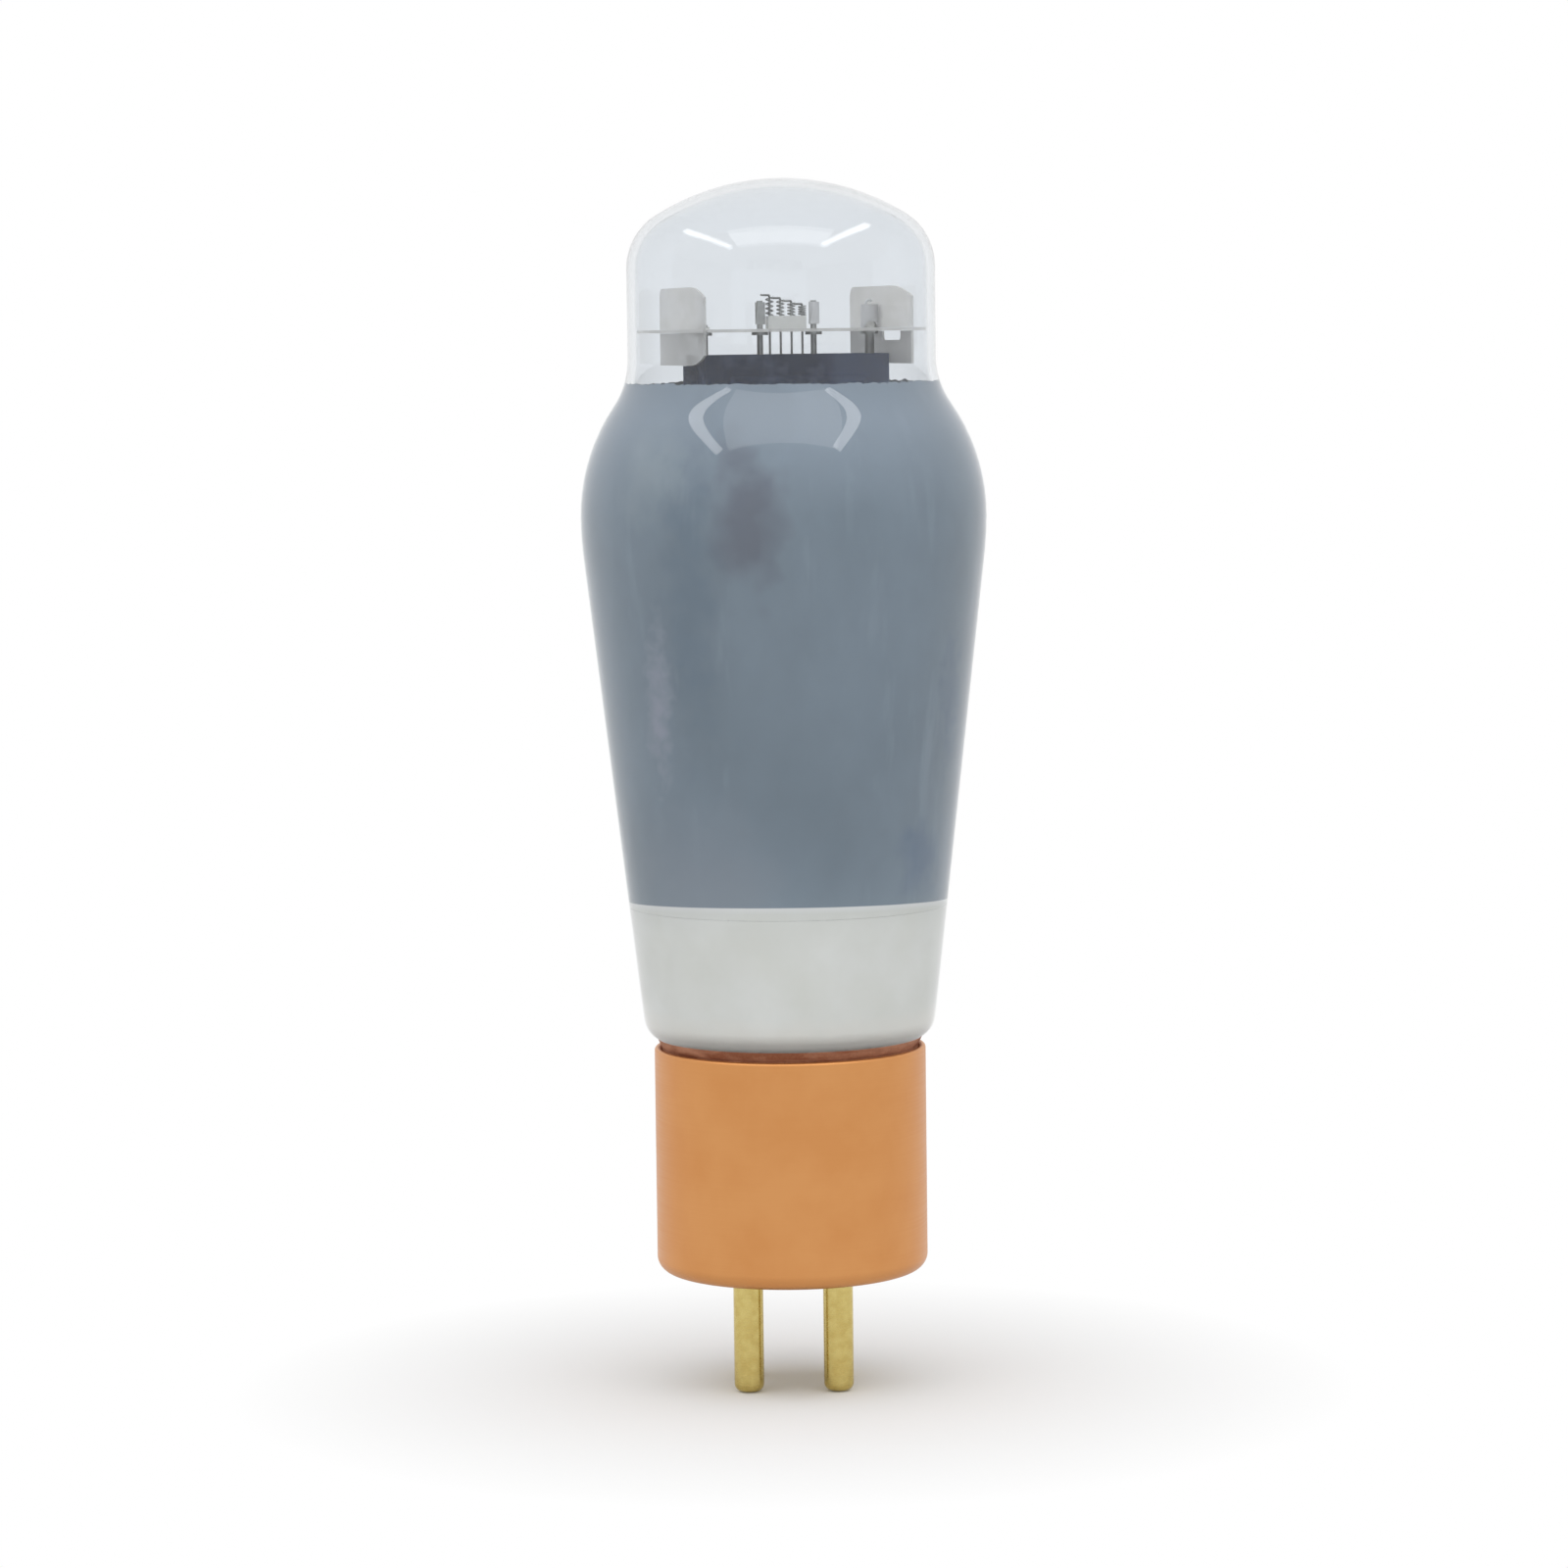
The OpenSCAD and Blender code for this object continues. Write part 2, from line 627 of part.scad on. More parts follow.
module lead_holes() {
    for (x = [-filament_lead_x, filament_lead_x, -outer_lead_x])
        translate([x, 0, press_z - CUT]) cylinder(h = press_h + 2 * CUT, r = lead_r);
    translate([outer_lead_x, 0, press_z - CUT]) cylinder(h = press_h + 2 * CUT, r = leg_r);
    translate([-leg_x, 0, press_top_z - leg_seat]) cylinder(h = leg_seat + CUT, r = leg_r);
}

// Ring between the neck and the shell, with a collar that slopes out to the glass above the rim
module base_cement() {
    top_z = rim_z - cement_drop;
    foot_z = top_z - cement_h;
    color(CEMENT)
        rotate_extrude($fn = FINE)
            polygon(concat([[base_inner_r, foot_z], [base_inner_r, top_z],
                [base_inner_r - cement_step, rim_z]],
                bulb_stretch(0, foot_z, rim_z + cement_climb)));
}

// Drawn cup: straight wall with a rounded rim, a round bottom edge and a turned-in lip
module base_shell() {
    inner_corner_r = base_corner_r - base_wall;
    corner_x = base_r - base_corner_r;
    corner_z = base_foot_z + base_corner_r;
    rim_round = base_wall / 2;
    lip_end_r = base_inner_r - lip_w;
    color(COPPER)
        rotate_extrude($fn = FINE)
            polygon(concat(
                [[lip_end_r, base_foot_z]],
                arc_points(corner_x, corner_z, base_corner_r, 270, 360, 0),
                arc_points(base_r - rim_round, rim_z - rim_round, rim_round, 0, 180, 0),
                arc_points(corner_x, corner_z, inner_corner_r, 360, 270, 0),
                [[lip_end_r, base_foot_z + base_wall]]));
}

module pin_wafer() {
    edge_round = base_corner_r - base_wall;
    wafer_r = base_inner_r - wafer_clear;
    color(CERAMIC)
        difference() {
            translate([0, 0, wafer_z])
                rotate_extrude($fn = FINE)
                    polygon(concat(
                        [[0, 0]],
                        arc_points(wafer_r - edge_round, edge_round, edge_round, 270, 360, 0),
                        [[wafer_r, wafer_h], [0, wafer_h]]));
            for (side_x = [-1, 1]) for (side_y = [-1, 1])
                translate(at_height(pin_place(side_x, side_y), wafer_z - CUT))
                    cylinder(h = wafer_h + 2 * CUT,
                        r = (side_y > 0 ? thin_pin_r : thick_pin_r) - pin_shoulder);
        }
}

// Hollow pin with a rounded tip and a flange that sits on the wafer
module pin(place, r) {
    round_r = min(pin_tip_round, r - pin_bore_r - pin_tip_land);
    flange_top_z = wafer_top_z + pin_flange_h;
    color(BRASS)
        translate(at_height(place, 0))
            rotate_extrude()
                polygon(concat(
                    [[pin_bore_r, 0]],
                    arc_points(r - round_r, round_r, round_r, 270, 360, 0),
                    [[r, wafer_z], [r - pin_shoulder, wafer_z], [r - pin_shoulder, wafer_top_z],
                     [r + pin_flange_w, wafer_top_z], [r + pin_flange_w, flange_top_z],
                     [pin_bore_r, flange_top_z]]));
}

module pin_1_filament() {
    pin(pin_place(1, -1), thick_pin_r);
}

module pin_2_anode() {
    pin(pin_place(1, 1), thin_pin_r);
}

module pin_3_grid() {
    pin(pin_place(-1, 1), thin_pin_r);
}

module pin_4_filament() {
    pin(pin_place(-1, -1), thick_pin_r);
}

// A plug of solder round the end of each lead
module pin_solder() {
    color("silver")
        for (side_x = [-1, 1]) for (side_y = [-1, 1]) {
            wire_r = side_x > 0 && side_y > 0 ? leg_r : lead_r;
            translate(at_height(pin_place(side_x, side_y), 0))
                difference() {
                    cylinder(h = solder_h, r = pin_bore_r);
                    translate([0, 0, lead_end_z]) cylinder(h = solder_h, r = wire_r);
                }
        }
}

// A lead's route from its pin up into the press
function lead_route(place, x) = [
    at_height(place, lead_end_z), at_height(place, lead_pin_z),
    at_height(in_cage_xy(x), lead_turn_z)];

module filament_lead(side) {
    press_x = side * filament_lead_x;
    end_x = side * filament_end_x;
    color(NICKEL)
        lead(concat(lead_route(pin_place(side, -1), press_x),
            [at_height(in_cage_xy(press_x), lead_rise_z),
             at_height(in_cage_xy(end_x), lead_join_z),
             at_height(in_cage_xy(end_x), filament_end_z)]), lead_r);
}

module filament_lead_right() {
    filament_lead(1);
}

module filament_lead_left() {
    filament_lead(-1);
}

module anode_lead() {
    color(NICKEL)
        lead(concat(lead_route(pin_place(1, 1), outer_lead_x),
            [at_height(in_cage_xy(outer_lead_x), lead_rise_z),
             at_height(in_cage_xy(rod_x), lead_join_z),
             at_height(in_cage_xy(rod_x), rod_foot_z)]), leg_r);
}

module grid_lead() {
    color(NICKEL)
        lead(concat(lead_route(pin_place(-1, 1), -outer_lead_x),
            [at_height(in_cage_xy(-outer_lead_x), lead_rise_z),
             at_height(in_cage_xy(-post_x), lead_join_z),
             at_height(in_cage_xy(-post_x), bottom_mica_z - post_down)]), lead_r);
}

module anode_leg() {
    color(NICKEL)
        lead([at_height(in_cage_xy(-leg_x), press_top_z - leg_seat),
            at_height(in_cage_xy(-leg_x), lead_rise_z),
            at_height(in_cage_xy(-rod_x), lead_join_z),
            at_height(in_cage_xy(-rod_x), rod_foot_z)], leg_r);
}

// One pressed half of the anode, in front of the flanges' plane, and the side of its right flange
module anode_half(right) {
    half_w = anode_w / 2;
    half_d = anode_d / 2;
    difference() {
        union() {
            translate([-half_w, -half_d, anode_foot_z]) cube([anode_w, anode_t, anode_h]);
            for (side = [-1, 1]) {
                translate([side > 0 ? half_w - anode_t : -half_w, -half_d, anode_foot_z])
                    cube([anode_t, half_d, anode_h]);
                anode_flange(side, side == right ? flange_right_drop : flange_drop);
            }
            intersection() {
                anode_beads(0);
                translate([-half_w, -half_d - bead_r, anode_foot_z])
                    cube([anode_w, bead_r + anode_t, anode_h]);
            }
        }
        anode_beads(anode_t);
    }
}

// Side flange whose two ends slope up to the anode's side
module anode_flange(side, drop) {
    inner_x = anode_w / 2 - anode_t;
    outer_x = anode_w / 2;
    foot_z = anode_foot_z + drop;
    top_z = anode_top_z - drop;
    outline = [[inner_x, foot_z - flange_slope], [outer_x, foot_z - flange_slope],
        [outer_x + flange_slope, foot_z], [outer_x + flange_w, foot_z],
        [outer_x + flange_w, top_z], [outer_x + flange_slope, top_z],
        [outer_x, top_z + flange_slope], [inner_x, top_z + flange_slope]];
    rotate([90, 0, 0])
        linear_extrude(height = anode_t) polygon(side > 0 ? outline : mirrored(outline));
}

// Stiffening beads: lying capsules that stand proud of the face, moved inwards by inset
module anode_beads(inset) {
    pitch = anode_h / bead_count;
    for (i = [0:bead_count - 1])
        translate([-bead_len / 2, -anode_d / 2 + bead_sink, anode_foot_z + (i + 0.5) * pitch]) {
            rotate([0, 90, 0]) cylinder(h = bead_len, r = bead_r - inset);
            for (x = [0, bead_len]) translate([x, 0, 0]) sphere(r = bead_r - inset);
        }
}

module anode_front() {
    color(CARBON) in_cage() anode_half(1);
}

module anode_rear() {
    color(CARBON) in_cage() rotate([0, 0, 180]) anode_half(-1);
}

module anode_rod(side, top_z) {
    color(NICKEL)
        in_cage()
            translate([side * rod_x, 0, rod_foot_z]) cylinder(h = top_z - rod_foot_z, r = rod_r);
}

module anode_rod_left() {
    anode_rod(-1, top_mica_top_z + left_insulator_h + rod_head);
}

module anode_rod_right() {
    anode_rod(1, top_mica_top_z + ferrule_h - ferrule_top);
}

// Crimped cap over the right rod and its ceramic bead, with an arched foot and a hook on top
module anode_ferrule() {
    foot_angle = asin((curl_lift + hook_r) / curl_r);
    color(CARBON)
        in_cage()
            translate([rod_x, 0, top_mica_top_z]) {
                difference() {
                    cylinder(h = ferrule_h, r = ferrule_r);
                    translate([0, 0, -CUT]) cylinder(h = ferrule_h - ferrule_top + CUT, r = rod_r);
                    translate([0, 0, -CUT]) cylinder(h = insulator_h + CUT, r = insulator_r);
                    translate([0, -ferrule_r - CUT, 0]) rotate([-90, 0, 0])
                        cylinder(h = 2 * (ferrule_r + CUT), r = ferrule_arch_r);
                }
                translate([0, 0, ferrule_h + curl_lift])
                    rotate([90, 0, 0]) rotate([0, 0, 180 - curl_angle])
                        rotate_extrude(angle = curl_angle + foot_angle)
                            translate([curl_r, 0]) circle(r = hook_r, $fn = COARSE);
            }
}

// A ring in the cage at x, with a bore
module ring_in_cage(x, z, r, bore_r, h) {
    in_cage()
        translate([x, 0, z])
            difference() {
                cylinder(h = h, r = r);
                translate([0, 0, -CUT]) cylinder(h = h + 2 * CUT, r = bore_r);
            }
}

module rod_insulators() {
    color(CERAMIC) {
        ring_in_cage(-rod_x, top_mica_top_z, insulator_r, rod_r, left_insulator_h);
        ring_in_cage(rod_x, top_mica_top_z, insulator_r, rod_r, insulator_h);
    }
}

// Washers under both micas on the rods, and under the top mica on the grid posts
module rod_washers() {
    color(NICKEL)
        for (side = [-1, 1]) {
            for (z = [top_mica_z, bottom_mica_z])
                ring_in_cage(side * rod_x, z - washer_h, washer_r, rod_r, washer_h);
            ring_in_cage(side * post_x, top_mica_z - washer_h, post_washer_r, post_r, washer_h);
        }
}

module grid_post(side) {
    foot_z = bottom_mica_z - post_down;
    color(NICKEL)
        in_cage()
            translate([side * post_x, 0, foot_z])
                cylinder(h = top_mica_top_z + post_up - foot_z, r = post_r);
}

module grid_post_left() {
    grid_post(-1);
}

module grid_post_right() {
    grid_post(1);
}

// A flat helix round both posts: two half turns and two straight runs for each turn
module grid_winding() {
    r = post_r + grid_seat + grid_wire_r;
    half_turn = PI * r;
    turn_len = 2 * half_turn + 4 * post_x;
    top_z = anode_top_z - grid_margin;
    turns = floor((anode_h - 2 * grid_margin) / grid_pitch);
    path = [for (t = [0:turns - 1]) for (side = [1, -1]) for (i = [0:COIL_STEPS])
        let (a = (side > 0 ? -90 : 90) + 180 * i / COIL_STEPS,
             run = half_turn * i / COIL_STEPS + (side > 0 ? 0 : turn_len / 2))
        [side * post_x + r * cos(a), r * sin(a), top_z - grid_pitch * (t + run / turn_len)]];
    color("gold") in_cage() swept_wire(path, grid_wire_r, WIRE_SIDES, [0, 0, 1]);
}

// A small tapered sheet on a sleeve round the top of a grid post
module grid_vane(side, width, top_width) {
    sleeve_r = post_r + vane_t;
    z = top_mica_top_z + post_up - vane_h - vane_drop;
    in_cage()
        translate([side * post_x, 0, z])
            difference() {
                union() {
                    cylinder(h = vane_h, r = sleeve_r);
                    translate([0, -sleeve_r + vane_t, 0])
                        rotate([90, 0, 0])
                            linear_extrude(height = vane_t)
                                polygon([[-width / 2, 0], [width / 2, 0],
                                    [width / 2, vane_h], [width / 2 - top_width, vane_h]]);
                }
                translate([0, 0, -CUT]) cylinder(h = vane_h + 2 * CUT, r = post_r);
            }
}

module grid_vane_left() {
    color(NICKEL) grid_vane(-1, vane_left_w, vane_left_top_w);
}

module grid_vane_right() {
    color(CARBON) grid_vane(1, vane_w, vane_top_w);
}

// One wire, eight strands: up and down between the upper hooks and the lower anchors
module filament() {
    zigzag = [for (i = [0:HOOKS - 1]) each concat(
        [[hook_x(i) - upper_bend_r, 0, filament_top_z],
         [hook_x(i) + upper_bend_r, 0, filament_top_z]],
        i == HOOKS - 1 ? [] :
        [[hook_x(i) + upper_bend_r, 0, filament_foot_z],
         [hook_x(i + 1) - upper_bend_r, 0, filament_foot_z]])];
    bends = [for (i = [0:len(zigzag) - 1]) i % 4 < 2 ? upper_bend_r : lower_bend_r];
    color("white")
        in_cage()
            bent_wire(concat([[-filament_end_x, 0, filament_end_z]], zigzag,
                [[filament_end_x, 0, filament_end_z]]), filament_r, bends);
}

// Wire that holds an upper filament bend, runs up through its spring and lies over it
module filament_hook(i) {
    z = filament_top_z - filament_r - hook_clear - hook_r;
    top_z = hook_top_z(i);
    color(NICKEL)
        in_cage()
            translate([hook_x(i), 0, 0])
                bent_wire([[0, -hook_bend, z + 2 * hook_bend], [0, -hook_bend, z],
                    [0, hook_bend, z], [0, hook_bend, top_z],
                    [-hook_end * cos(hook_end_angle),
                     hook_bend - hook_end * sin(hook_end_angle), top_z]],
                    hook_r, [hook_bend, hook_bend, hook_top_bend]);
}

module filament_hook_1() {
    filament_hook(0);
}

module filament_hook_2() {
    filament_hook(1);
}

module filament_hook_3() {
    filament_hook(2);
}

module filament_hook_4() {
    filament_hook(3);
}

module filament_spring(i) {
    steps = 2 * COIL_STEPS * spring_turns;
    travel = spring_height(i) - 2 * spring_wire_r;
    path = [for (k = [0:steps])
        let (a = 360 * spring_turns * k / steps)
        [spring_r * cos(a), spring_r * sin(a), travel * k / steps]];
    color(NICKEL)
        in_cage()
            translate([hook_x(i), hook_bend, bar_top_z + spring_wire_r])
                swept_wire(path, spring_wire_r, WIRE_SIDES, [0, 0, 1]);
}

module filament_spring_1() {
    filament_spring(0);
}

module filament_spring_2() {
    filament_spring(1);
}

module filament_spring_3() {
    filament_spring(2);
}

module filament_spring_4() {
    filament_spring(3);
}

module spring_bar() {
    color(CERAMIC)
        in_cage()
            difference() {
                translate([-bar_w / 2, hook_bend - bar_t / 2, top_mica_top_z])
                    cube([bar_w, bar_t, bar_h]);
                for (i = [0:HOOKS - 1])
                    translate([hook_x(i), hook_bend, top_mica_top_z - CUT])
                        cylinder(h = bar_h + 2 * CUT, r = hook_r + hole_clear);
            }
}

// Wire that holds a lower filament bend down to the bottom mica
module filament_anchor(i) {
    z = filament_foot_z + filament_r + hook_clear + hook_r;
    foot_z = bottom_mica_z - hook_r;
    color(NICKEL)
        in_cage()
            translate([anchor_x(i), 0, 0])
                bent_wire([[0, -hook_bend, z - 2 * hook_bend], [0, -hook_bend, z],
                    [0, hook_bend, z], [0, hook_bend, foot_z],
                    [0, hook_bend + anchor_foot, foot_z]],
                    hook_r, [hook_bend, hook_bend, hook_r + hole_clear]);
}

module filament_anchor_1() {
    filament_anchor(0);
}

module filament_anchor_2() {
    filament_anchor(1);
}

module filament_anchor_3() {
    filament_anchor(2);
}

// Holes that both micas have for the rods and the grid posts
module cage_holes(z) {
    for (side = [-1, 1]) {
        mica_hole(side * rod_x, 0, z, rod_r);
        mica_hole(side * post_x, 0, z, post_r);
    }
}

// A hole in a mica for a wire of radius r
module mica_hole(x, y, z, r) {
    translate([x, y, z - CUT]) cylinder(h = mica_t + 2 * CUT, r = r + hole_clear);
}

module top_mica() {
    r = min(bulb_r_at(top_mica_z, glass_t), bulb_r_at(top_mica_top_z, glass_t)) - mica_clear;
    color(MICA)
        difference() {
            translate([0, 0, top_mica_z]) cylinder(h = mica_t, r = r, $fn = FINE);
            in_cage() {
                cage_holes(top_mica_z);
                for (i = [0:HOOKS - 1]) mica_hole(hook_x(i), hook_bend, top_mica_z, hook_r);
            }
            turned()
                for (angle = [0, 180])
                    rotate([0, 0, angle])
                        translate([fin_x - fin_t / 2 - hole_clear, -hole_clear, top_mica_z - CUT])
                            cube([fin_t + 2 * hole_clear, r + CUT, mica_t + 2 * CUT]);
        }
}

module bottom_mica() {
    color(MICA)
        in_cage()
            difference() {
                translate([0, 0, bottom_mica_z]) cylinder(h = mica_t, r = bottom_mica_r, $fn = FINE);
                cage_holes(bottom_mica_z);
                for (side = [-1, 1]) mica_hole(side * filament_end_x, 0, bottom_mica_z, lead_r);
                for (i = [0:HOOKS - 2]) mica_hole(anchor_x(i), hook_bend, bottom_mica_z, hook_r);
                mica_hole(0, getter_r - getter_y, bottom_mica_z, getter_wire_r);
            }
}

// Half the length of a standing mica plate, from the glass at its heights
function fin_half() =
    sqrt(pow(min([for (z = [fin_foot_z, top_mica_z, fin_top_z])
        bulb_r_at(z, glass_t)]) - mica_clear, 2) - pow(fin_x + fin_t / 2, 2));

// Outline of a mica plate with its slotted end at the right: one upper corner has a small round
// and the other a shallow curve, and so has the lower corner away from the slot
module fin_outline(side) {
    half = fin_half();
    curve_r = (pow(fin_curve_len, 2) + pow(fin_curve_h, 2)) / (2 * fin_curve_h);
    curve_angle = asin(fin_curve_len / curve_r);
    round_corner = arc_points(half - fin_corner_r, fin_top_z - fin_corner_r, fin_corner_r, 0, 90, 0);
    shallow_corner = arc_points(half - fin_curve_len, fin_top_z - curve_r, curve_r,
        90 - curve_angle, 90, 0);
    polygon(concat(
        side > 0 ? shallow_corner : round_corner,
        mirrored(side > 0 ? round_corner : shallow_corner),
        arc_points(fin_curve_len - half, fin_foot_z + curve_r, curve_r, 270 - curve_angle, 270, 0),
        [[half, fin_foot_z]]));
}

// Cut in a mica plate: the disc's slot from the middle to one end, and on the right plate the
// opening under it
module fin_slot(side) {
    slot_end_x = fin_half() + CUT;
    slot_z = top_mica_z - hole_clear;
    slot_top_z = top_mica_top_z + hole_clear;
    opening_end_x = fin_opening_x + fin_opening_len;
    round_r = fin_opening_h / 2;
    opening = concat([[fin_opening_x, slot_z]],
        arc_points(fin_opening_x + round_r, slot_z - round_r, round_r, 180, 270, 0),
        arc_points(opening_end_x - round_r, slot_z - round_r, round_r, 270, 360, 0),
        [[opening_end_x, slot_z]]);
    polygon(concat([[slot_end_x, slot_z], [slot_end_x, slot_top_z], [0, slot_top_z], [0, slot_z]],
        side > 0 ? opening : []));
}

// Mica plate that stands across the top disc, lapped with it at half its length
module mica_fin(side) {
    color(MICA)
        turned()
            rotate([0, 0, side > 0 ? 0 : 180]) translate([fin_x, 0, 0]) rotate([90, 0, -90])
                difference() {
                    translate([0, 0, -fin_t / 2]) linear_extrude(height = fin_t) fin_outline(side);
                    translate([0, 0, -fin_t]) linear_extrude(height = 2 * fin_t) fin_slot(side);
                }
}

module mica_fin_left() {
    mica_fin(-1);
}

module mica_fin_right() {
    mica_fin(1);
}

// Channel ring, open downwards
module getter_ring() {
    inner = getter_r - getter_w / 2;
    color(NICKEL)
        in_cage()
            translate([0, -getter_y, bottom_mica_z - getter_drop - getter_h])
                difference() {
                    rotate_extrude() translate([inner, 0]) square([getter_w, getter_h]);
                    translate([0, 0, -getter_t])
                        rotate_extrude()
                            translate([inner + getter_t, 0])
                                square([getter_w - 2 * getter_t, getter_h]);
                }
}

// Wire that hangs the getter ring from the bottom mica
module getter_wire() {
    y = getter_r - getter_y;
    top_z = bottom_mica_top_z + getter_wire_r;
    color(NICKEL)
        in_cage()
            bent_wire([[getter_wire_end, y, top_z], [0, y, top_z],
                [0, y, bottom_mica_z - getter_drop]], getter_wire_r, getter_wire_r + hole_clear);
}

glass_bulb();
dark_coating();
getter_mirror();
glass_stem();
base_cement();
base_shell();
pin_wafer();
pin_1_filament();
pin_2_anode();
pin_3_grid();
pin_4_filament();
pin_solder();
filament_lead_right();
filament_lead_left();
anode_lead();
grid_lead();
anode_leg();
anode_front();
anode_rear();
anode_rod_left();
anode_rod_right();
anode_ferrule();
rod_insulators();
rod_washers();
grid_post_left();
grid_post_right();
grid_winding();
grid_vane_left();
grid_vane_right();
filament();
filament_hook_1();
filament_hook_2();
filament_hook_3();
filament_hook_4();
filament_spring_1();
filament_spring_2();
filament_spring_3();
filament_spring_4();
spring_bar();
filament_anchor_1();
filament_anchor_2();
filament_anchor_3();
top_mica();
bottom_mica();
mica_fin_left();
mica_fin_right();
getter_ring();
getter_wire();
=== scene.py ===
# Looks of a directly heated power triode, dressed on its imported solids.
# Places and sizes are in metres, but in millimetres on the object wherever a material uses them.
# Colours are sRGB values from 0 to 255.
import json
import math

import bpy
from mathutils import Matrix, Quaternion, Vector, kdtree


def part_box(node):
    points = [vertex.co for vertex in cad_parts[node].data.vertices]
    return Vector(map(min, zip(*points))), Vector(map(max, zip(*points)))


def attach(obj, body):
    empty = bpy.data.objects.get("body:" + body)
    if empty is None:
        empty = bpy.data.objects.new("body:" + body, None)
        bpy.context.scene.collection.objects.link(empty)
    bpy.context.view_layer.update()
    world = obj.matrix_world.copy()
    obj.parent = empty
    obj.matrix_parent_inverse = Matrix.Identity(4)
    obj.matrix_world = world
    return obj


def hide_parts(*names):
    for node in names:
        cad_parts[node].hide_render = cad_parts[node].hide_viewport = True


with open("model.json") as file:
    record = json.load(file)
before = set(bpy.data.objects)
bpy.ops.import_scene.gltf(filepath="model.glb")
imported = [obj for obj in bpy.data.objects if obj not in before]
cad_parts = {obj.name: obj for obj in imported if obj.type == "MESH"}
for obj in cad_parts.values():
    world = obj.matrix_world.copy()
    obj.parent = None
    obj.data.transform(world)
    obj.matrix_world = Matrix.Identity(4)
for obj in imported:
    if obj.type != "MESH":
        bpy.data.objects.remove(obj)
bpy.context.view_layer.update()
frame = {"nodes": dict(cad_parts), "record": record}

MM = 0.001

# Camera, from the photograph's perspective on a square frame, with its lens and sensor in
# millimetres
LENS = 118.5
SENSOR = 36.0
DISTANCE = 0.6847
PITCH = math.radians(5)
ROLL = math.radians(0.7)
AIM = Vector((-0.00039, 0, 0.08045))
CLIP_NEAR = 0.01
CLIP_FAR = 20

# Light of the white world on matt surfaces
WORLD_LEVEL = 0.55

# Floor, just under the pins, and the distances between which its shadow fades to plain white
FLOOR_HALF = 3.0
FLOOR_DROP = 0.00005
FLOOR_TONE = (246, 246, 246)
SHADOW_NEAR = 0.005
SHADOW_FAR = 0.075

# Lamps overhead, which look at the bulb's shoulder: two long strips and a wide panel
SHOULDER = Vector((0, 0, 0.13))
LAMP_HEIGHT = 1.13
STRIP_PLACES = {"strip_left": -0.93, "strip_right": 0.76}
STRIP_FRONT = -0.93
STRIP_REAR = 0.4
STRIP_WIDTH = 0.12
STRIP_RADIANCE = 4.0
PANEL_FRONT = -0.91
PANEL_REAR = -0.25
PANEL_WIDTH = 1.3
PANEL_RADIANCE = 1.35

# Heights between which the glass takes on its tint, which the mirrored foot doesn't have
CLEAR_FOOT = (50, 54)

# Dark film: heights of the painted light on its shoulder, and how far its upper edge wanders and
# blurs
SHOULDER_PAINTED_LIGHT = (117, 129)
EDGE_RAG = 0.25
EDGE_BLUR = 0.075

# Painted highlights and darker places on the film's front: centre, half size in millimetres,
# share, colour
COATING_PAINTED_PLACES = (
    ((-4.5, -26, 117), (5, 9, 10), 0.8, (114, 119, 132)),
    ((-16.9, -19.5, 123), (5, 7, 7), 0.7, (164, 176, 184)),
    ((-12.1, -23, 106), (3.6, 9, 20), 0.4, (112, 132, 150)),
    ((-16.3, -18.6, 91), (1.9, 5, 12), 0.85, (170, 175, 189)),
    ((-12.5, -17.4, 70), (12, 12, 10), 0.8, (153, 163, 174)),
    ((21.2, -11.9, 91), (1.8, 6, 10), 0.55, (110, 131, 154)),
    ((17.3, -13.6, 72), (3.5, 7, 5.5), 0.6, (114, 134, 158)),
)

# Silver film: height of its upper edge at the axis, how steeply the edge falls towards the back
# and how far it blurs, how far below it the bright line ends and begins, the height up to which
# warm light from the copper base is painted on its foot, how metallic the film is, and the
# heights above its foot between which it gets so
SILVER_TOP = 65.15
SILVER_FALL = 0.0525
SILVER_BLUR = 0.04
SILVER_LINE = (0.8, 0.3)
SILVER_COPPER_GLOW = 5
SILVER_METALLIC = 0.25
SILVER_MATT = (1, 5)

# Anode: distances to the right between which it gets paler, and how far below the top mica it
# begins to turn grey
ANODE_PALE = (5, 7.5)
ANODE_GREY = 1

# Range that holds most values of a noise
NOISE_RANGE = (0.35, 0.65)

# Size of the stains on a metal, as a multiple of the size of its grain
STAIN_RATIO = 12

# Metals of the record's slots
METALS = {
    "brass": {"name": "pin_brass", "dark": (198, 176, 106), "light": (209, 190, 120),
              "metallic": 1.0, "roughness": (0.2, 0.3), "grain": 0.1, "relief": 0.002,
              "stretch": (0.05, 0.05, 1)},
    "solder": {"name": "dull_solder", "dark": (158, 160, 163), "light": (186, 188, 190),
               "metallic": 0.9, "roughness": (0.35, 0.5), "grain": 0.3, "relief": 0.02},
    "nickel": {"name": "satin_nickel", "dark": (142, 143, 142), "light": (172, 173, 171),
               "metallic": 0.9, "roughness": (0.3, 0.42), "grain": 0.2, "relief": 0.003},
    "grid_wire": {"name": "gilt_grid_wire", "dark": (186, 158, 98), "light": (208, 182, 120),
                  "metallic": 1.0, "roughness": (0.2, 0.35), "grain": 0.08, "relief": 0.001},
    "tungsten": {"name": "oxide_coated_tungsten", "dark": (206, 206, 202),
                 "light": (224, 224, 221), "metallic": 0.1, "roughness": (0.6, 0.8),
                 "grain": 0.06, "relief": 0.002},
}

# Turned meshes: faces round them, how far apart two points of one ring may lie in a section, the
# longest face along a section, and the least angle of a sharp corner
SEGMENTS = 144
RING_TOLERANCE = 3e-6
LONGEST_STRETCH = 1.5 * MM
SHARP_ANGLE = math.radians(25)

# How far the films reach into the glass, and the length over which soft shading is averaged
FILM_BOND = 0.025 * MM
SOFTNESS = 2.2 * MM


